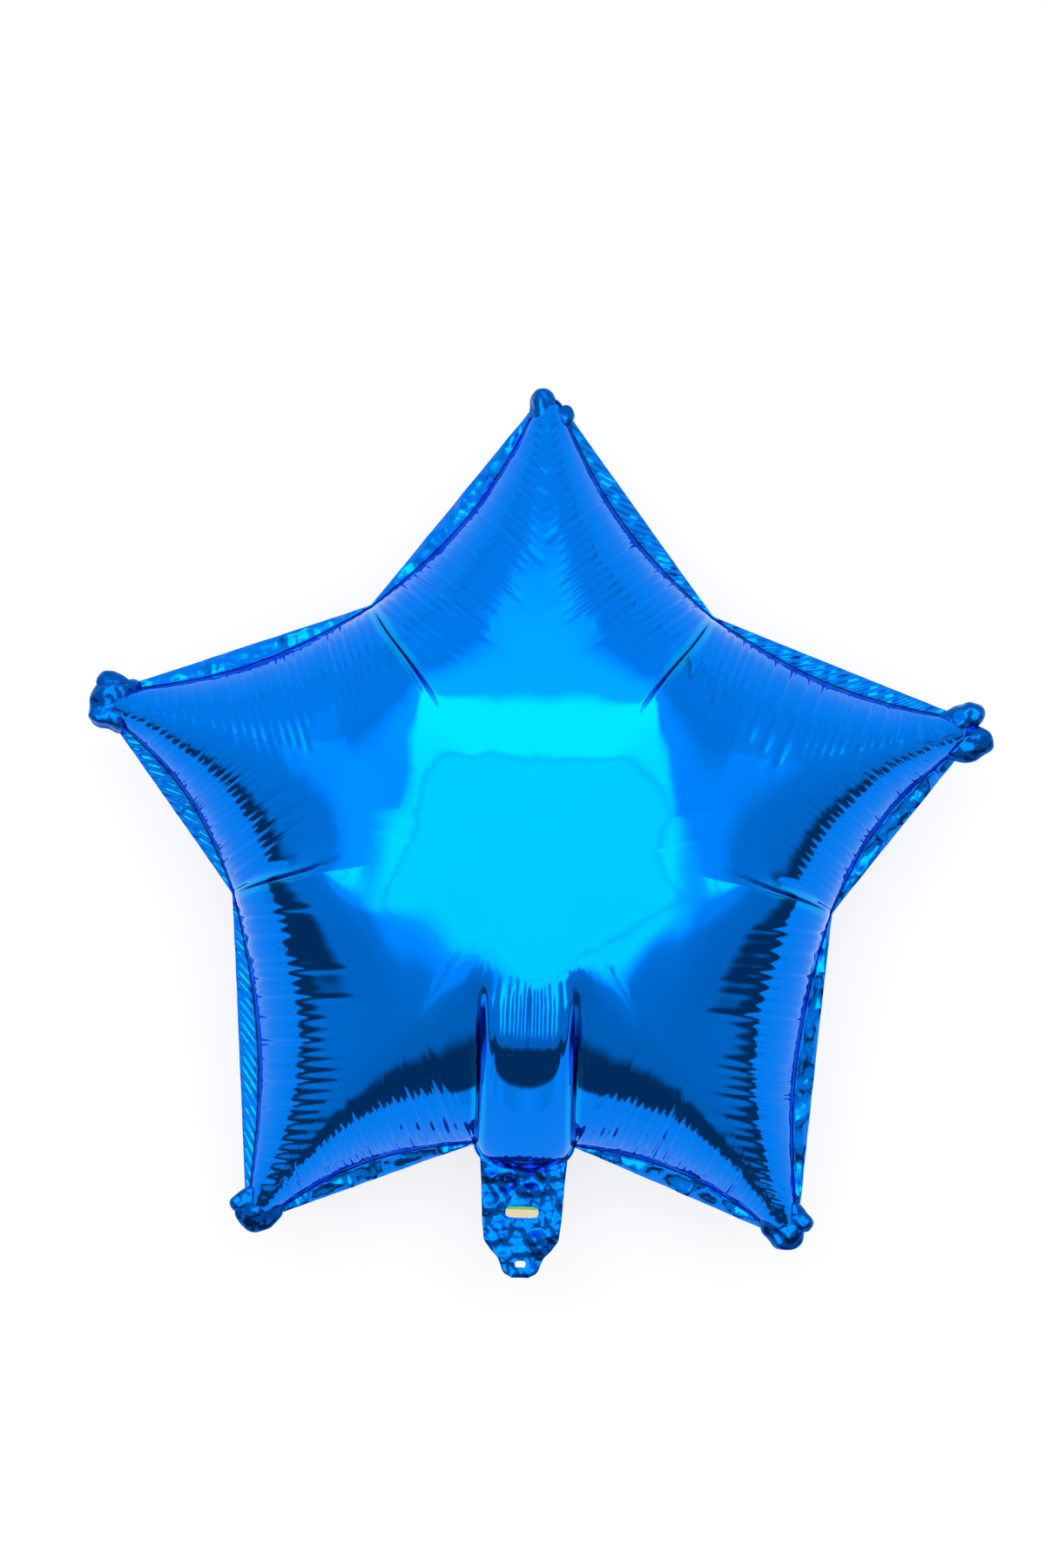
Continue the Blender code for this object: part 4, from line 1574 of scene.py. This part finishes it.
@dataclass(frozen=True)
class Foil:
    """Mirror-like blue foil.

    On taut foil, attributes tell where shade is painted darker in the folds, where a painted shadow line runs
    along the seal's line, where a paler painted reflection stands for two sides that reflect each other, and
    where the flange is roped. The edge tint turns it pale at the rim of the rolls. The facets are pairs of
    cells to the metre and a depth in metres: on taut foil they lie on the flange alone, and on crumpled foil
    all over. The flange starts at flange_from, and the painted shadow line at seal_shadow_line, both inwards
    from the seam.
    """

    name: str = "blue_foil"
    form: FoilForm = FoilForm.TAUT
    colour: tuple[float, float, float] = (0.0, 0.19, 0.83)
    # Painted shade: the dark colour painted into the folds and into the line along the seal.
    painted_shade_colour: tuple[float, float, float] = (0.0, 0.015, 0.10)
    # Painted reflection: the paler blue of the strip where a crease's two sides would reflect each other.
    vee_reflection_colour: tuple[float, float, float] = (0.0, 0.31, 0.87)
    edge_tint: tuple[float, float, float] = (0.72, 0.84, 1.0)
    roughness: float = 0.05
    rope_pitch: float = 0.0056
    rope_rise: float = 0.0034
    rope_depth: float = 0.00030
    facets: tuple[tuple[float, float], ...] = ((60.0, 0.0050), (150.0, 0.0010))
    flange_from: tuple[float, float] = (-0.0012, -0.0004)
    # Painted shadow: the band just outside the seam, inwards from it, where a dark line is painted.
    seal_shadow_line: tuple[float, float] = (-0.0011, -0.0001)
    seal_soft: float = 0.0002

    def material(self) -> bpy.types.Material:
        """The finish as a material."""
        made = bpy.data.materials.new(self.name)
        made.use_nodes = True
        made.diffuse_color = (*self.colour, 1.0)
        shader = made.node_tree.nodes["Principled BSDF"]
        graph = Graph(made.node_tree)
        shader.inputs["Base Color"].default_value = (*self.colour, 1.0)
        shader.inputs["Metallic"].default_value = 1.0
        shader.inputs["Roughness"].default_value = self.roughness
        shader.inputs["Specular Tint"].default_value = (*self.edge_tint, 1.0)
        height = self.facet_height(graph)
        if self.form is FoilForm.TAUT:
            inset, roped = graph.attribute("inset"), graph.attribute("roped")
            height = graph.maths("MULTIPLY", height, graph.maths("SUBTRACT", 1.0, roped))
            ropes = graph.maths("MULTIPLY", self.rope_height(graph, inset), roped)
            height = graph.maths("ADD", height, ropes)
            height = graph.maths("MULTIPLY", height, graph.ramp(inset, self.flange_from, (1.0, 0.0)))
            # Painted shadow along the seal and painted shade in the folds both take the dark colour.
            line = graph.band(inset, self.seal_shadow_line, self.seal_soft)
            fold = graph.maths("MAXIMUM", graph.attribute("hollow"), line)
            # Painted reflection: the strip beside each crease is mixed towards the paler blue.
            colour = graph.mixed(graph.attribute("vee"), self.colour, self.vee_reflection_colour)
            graph.fill(shader.inputs["Base Color"], graph.mixed(fold, colour, self.painted_shade_colour))
        graph.fill(shader.inputs["Normal"], graph.bump(height))
        return made

    def facet_height(self, graph: Graph) -> bpy.types.NodeSocket:
        """Height of crumpled facets in metres: the distance to the nearest random point, at two scales."""
        heights = [graph.maths("MULTIPLY", graph.cells(scale), depth) for scale, depth in self.facets]
        return graph.maths("ADD", *heights)

    def rope_height(self, graph: Graph, inset: bpy.types.NodeSocket) -> bpy.types.NodeSocket:
        """Height of slanted ropes.

        Args:
            graph: The finish's maths nodes.
            inset: Distance inwards from the seam.

        Returns:
            rope_depth * sin(2 pi (place / rope_pitch + inset / rope_rise)), in metres.
        """
        turns = graph.maths("MULTIPLY", graph.attribute("place"), 2 * math.pi / self.rope_pitch)
        turns = graph.maths("MULTIPLY_ADD", inset, 2 * math.pi / self.rope_rise, turns)
        return graph.maths("MULTIPLY", graph.maths("SINE", turns), self.rope_depth)


# Painted shade: the crumpled pieces are the envelope's foil, with a darker blue for the darker surroundings
# they reflect.
SHADED_CRUMPLED_FOIL = Foil(
    "crumpled_foil_painted_shade", FoilForm.CRUMPLED, (0.0, 0.09, 0.44), facets=((95.0, 0.0016), (210.0, 0.0007)),
)


@dataclass(frozen=True)
class WindowSide:
    """One side of the ceiling's bright window, square to an angle in degrees from +X.

    The light falls to the share beyond over the span near, and from there to nothing at far. With a pull,
    the side bends at its middle, and lies further off by the pull times the distance from there.
    """

    angle: float
    near: tuple[float, float]
    beyond: float
    far: float
    pull: float = 0.0


@dataclass(frozen=True)
class Surroundings:
    """Light that comes from each direction.

    A bright window is overhead, with a thin darker line round a panel in its middle. The walls are pale,
    and brighter towards one side by wall_lean. Low down is a dark ring, which is higher on one side by
    its leans and paler over the span pale_side, towards pale_direction. Under it the light is plain, with
    faint stripes of stripes[1] * sin(stripes[0] * (x - y)).
    """

    ceiling: float = 3.2
    least_rise: float = 0.05
    sides: tuple[WindowSide, ...] = (
        WindowSide(UPWARD, (0.40, 0.47), 0.36, 1.50, 0.30), WindowSide(-18, (0.31, 0.37), 0.14, 0.80),
        WindowSide(-54, (0.38, 0.50), 0.25, 0.90), WindowSide(234, (0.28, 0.38), 0.22, 0.80),
        WindowSide(198, (0.31, 0.39), 0.22, 0.80),
    )
    line_sides: tuple[tuple[float, float], ...] = (
        (UPWARD, 0.250), (-27, 0.313), (-90, 0.295), (199, 0.308),
    )
    line_power: float = 9.0
    line_half_width: float = 0.050
    line_level: float = 0.68
    top_pull: float = 0.45
    upper_gain: float = 0.40
    upper_gauge: tuple[float, float] = (1.0, 1.04)
    upper_reach: tuple[float, float] = (0.0, 0.25)
    walls: float = 0.76
    wall_lean: tuple[float, float] = (-0.04, 0.26)
    dark: float = 0.13
    ring: tuple[float, float] = (0.20, 0.36)
    ring_foot: tuple[float, float] = (0.15, 0.19)
    ring_lean: tuple[float, float] = (0.36, 0.20)
    pale_direction: tuple[float, float] = (-0.8, 0.6)
    pale_side: tuple[float, float] = (0.80, 0.93)
    pale_level: float = 0.70
    low: float = 1.0
    stripes: tuple[float, float] = (20.0, 0.10)

    def build(self) -> None:
        """Makes the world.

        A direction (x, y, z) meets the ceiling at (u, v) = (x / z, y / z). Each side of the window dims
        the light by how far (u, v) lies in the side's direction. The ring is dark where z plus the lesser
        of ring_lean * y is low, and its foot is where z falls through ring_foot.
        """
        world = bpy.data.worlds.new("surroundings")
        bpy.context.scene.world = world
        world.use_nodes = True
        graph = Graph(world.node_tree)
        place = world.node_tree.nodes.new("ShaderNodeTexCoord")
        split = world.node_tree.nodes.new("ShaderNodeSeparateXYZ")
        world.node_tree.links.new(place.outputs["Generated"], split.inputs[0])
        x, y, z = split.outputs
        rise = graph.maths("MAXIMUM", z, self.least_rise)
        u = graph.maths("DIVIDE", x, rise)
        v = graph.maths("DIVIDE", y, rise)
        bright = 1.0
        for side in self.sides:
            along = graph.along(u, v, side.angle)
            if side.pull:
                across = graph.along(u, v, side.angle + UPWARD)
                along = graph.maths("MULTIPLY_ADD", graph.maths("ABSOLUTE", across), -side.pull, along)
            near = graph.ramp(along, side.near, (1.0, side.beyond))
            far = graph.ramp(along, (side.near[1], side.far), (1.0, 0.0))
            bright = graph.maths("MULTIPLY", bright, graph.maths("MULTIPLY", near, far))
        bright = graph.maths("MULTIPLY", bright, self.panel(graph, u, v))
        walls = graph.maths("MULTIPLY_ADD", x, self.wall_lean[0], self.walls)
        walls = graph.maths("MULTIPLY_ADD", y, self.wall_lean[1], walls)
        level = graph.maths("MULTIPLY_ADD", bright, self.ceiling - self.walls, walls)
        turned = (graph.maths("MULTIPLY", part, lean) for part, lean in zip((x, y), self.pale_direction))
        dark = graph.ramp(graph.maths("ADD", *turned), self.pale_side, (self.dark, self.pale_level))
        leans = (graph.maths("MULTIPLY", y, lean) for lean in self.ring_lean)
        above = graph.ramp(graph.maths("ADD", z, graph.maths("MINIMUM", *leans)), self.ring, (dark, level))
        waves = graph.maths("SINE", graph.maths("MULTIPLY", graph.maths("SUBTRACT", x, y), self.stripes[0]))
        low = graph.maths("MULTIPLY_ADD", waves, self.stripes[1], self.low)
        ring = graph.ramp(z, self.ring_foot, (low, above))
        background = world.node_tree.nodes["Background"]
        graph.fill(background.inputs["Strength"], ring)
        background.inputs["Color"].default_value = (1.0, 1.0, 1.0, 1.0)

    def panel(self, graph: Graph, u: bpy.types.NodeSocket, v: bpy.types.NodeSocket) -> bpy.types.NodeSocket:
        """Brightness of a four-sided panel in the window, with a thin darker line round it.

        The gauge is (sum of (share of each side's distance)^line_power)^(1 / line_power), which is 1 on
        the line. The panel's top side comes down by top_pull * |u|. Above the line, the window is
        brighter by the upper gain.

        Args:
            graph: The world's maths nodes.
            u: Place on the ceiling along X.
            v: Place on the ceiling along Y.

        Returns:
            The brightness, as a share of the window's.
        """
        powers = 0.0
        for angle, distance in self.line_sides:
            along = graph.along(u, v, angle, distance)
            if angle == UPWARD:
                aside = graph.maths("ABSOLUTE", u)
                along = graph.maths("MULTIPLY_ADD", aside, self.top_pull / distance, along)
            power = graph.maths("POWER", graph.maths("MAXIMUM", along, 0.0), self.line_power)
            powers = graph.maths("ADD", powers, power)
        gauge = graph.maths("POWER", powers, 1 / self.line_power)
        gap = graph.maths("ABSOLUTE", graph.maths("SUBTRACT", gauge, 1.0))
        line = graph.ramp(gap, (0.0, self.line_half_width), (self.line_level, 1.0))
        outside = graph.ramp(gauge, self.upper_gauge, (0.0, self.upper_gain))
        outside = graph.maths("MULTIPLY", outside, graph.ramp(v, self.upper_reach, (0.0, 1.0)))
        return graph.maths("MULTIPLY", line, graph.maths("ADD", outside, 1.0))


@dataclass(frozen=True)
class Studio:
    """Pale floor, light from the surroundings and a camera that looks straight down.

    The floor shows and reflects as plain white by white_share, and for the rest as it is lit, so that it
    keeps the balloon's shadow.
    """

    camera_distance: float = 2.6
    metres_per_pixel: float = 0.00041
    image_size: tuple[int, int] = (1200, 1800)
    centre_pixel: tuple[float, float] = (613.0, 982.0)
    turn: float = math.radians(1.9)
    floor_half: float = 6.0
    floor_level: float = -0.0005
    floor_colour: tuple[float, float, float] = (0.90, 0.90, 0.90)
    floor_roughness: float = 0.9
    white_share: float = 0.75

    def floor(self) -> bpy.types.Object:
        """A wide pale floor just under the balloon."""
        mesh = bpy.data.meshes.new("floor")
        half = self.floor_half
        corners = [(-half, -half), (half, -half), (half, half), (-half, half)]
        mesh.from_pydata([(x, y, self.floor_level) for x, y in corners], [], [(0, 1, 2, 3)])
        made = dressed(add_object("floor", mesh), self.floor_finish())
        return made

    def floor_finish(self) -> bpy.types.Material:
        """Matt pale paint, which camera, glossy and transmission rays see partly as plain white."""
        finish = bpy.data.materials.new("pale_floor")
        finish.use_nodes = True
        shader = finish.node_tree.nodes["Principled BSDF"]
        shader.inputs["Base Color"].default_value = (*self.floor_colour, 1.0)
        shader.inputs["Roughness"].default_value = self.floor_roughness
        shader.inputs["Specular IOR Level"].default_value = 0.0
        nodes, links = finish.node_tree.nodes, finish.node_tree.links
        seen, white, blend = (nodes.new(name) for name in (
            "ShaderNodeLightPath", "ShaderNodeEmission", "ShaderNodeMixShader"))
        graph = Graph(finish.node_tree)
        rays = [seen.outputs[name] for name in ("Is Camera Ray", "Is Glossy Ray", "Is Transmission Ray")]
        share = graph.maths("MAXIMUM", graph.maths("MAXIMUM", *rays[:2]), rays[2])
        share = graph.maths("MULTIPLY", share, self.white_share)
        links.new(share, blend.inputs[0])
        links.new(shader.outputs[0], blend.inputs[1])
        links.new(white.outputs[0], blend.inputs[2])
        links.new(blend.outputs[0], nodes["Material Output"].inputs["Surface"])
        return finish

    def camera(self, height: float) -> None:
        """A long lens straight above, turned so that the star leans as in the photograph.

        Args:
            height: Height of the plane in which metres_per_pixel holds.
        """
        width, tall = self.image_size
        data = bpy.data.cameras.new("camera")
        data.sensor_width = 36.0
        data.lens = data.sensor_width * self.camera_distance / (tall * self.metres_per_pixel)
        made = bpy.data.objects.new("camera", data)
        offset = np.array([self.centre_pixel[0] - width / 2, tall / 2 - self.centre_pixel[1]])
        spin = np.array([unit(self.turn), unit(self.turn + UP)]).T
        place = -spin @ offset * self.metres_per_pixel
        made.location = (place[0], place[1], height + self.camera_distance)
        made.rotation_euler.z = self.turn
        bpy.context.scene.collection.objects.link(made)
        bpy.context.scene.camera = made

    def build(self, height: float) -> None:
        """Sets up everything round the balloon.

        Args:
            height: Height of the flange's plane.
        """
        self.floor()
        Surroundings().build()
        self.camera(height)
        bpy.context.scene.view_settings.view_transform = "Standard"


def report(piece: bpy.types.Object) -> None:
    """Logs a piece's name, its number of triangles and its finish."""
    triangles = sum(len(face.vertices) - 2 for face in piece.data.polygons)
    LOG.info("%s: %d triangles of %s", piece.name, triangles, piece.data.materials[0].name)


def main() -> None:
    """Loads the frame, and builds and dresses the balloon's pieces."""
    logging.basicConfig(level=logging.INFO)
    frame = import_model()
    LOG.info("frame of %d nodes", len(frame["nodes"]))
    height = REST_HEIGHT
    tail, crumpled = Tail(TailSizes(), height), SHADED_CRUMPLED_FOIL.material()
    skin = [
        Envelope(StarOutline(), height).build("envelope", Foil().material()),
        tail.build_tail("tail", crumpled),
    ]
    for number, lobes in enumerate(TIP_LOBES):
        skin.append(TipFold(number, lobes, height).build(f"tip_fold_{number + 1}", crumpled))
    for piece in skin:
        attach(piece, "root")
        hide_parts(ENVELOPE)
    film = tail.build_film("film_in_slot", ValveFilm().material())
    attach(film, "root")
    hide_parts(FILM)
    for piece in (*skin, film):
        report(piece)
    Studio().build(height)


if __name__ == "__main__":
    main()
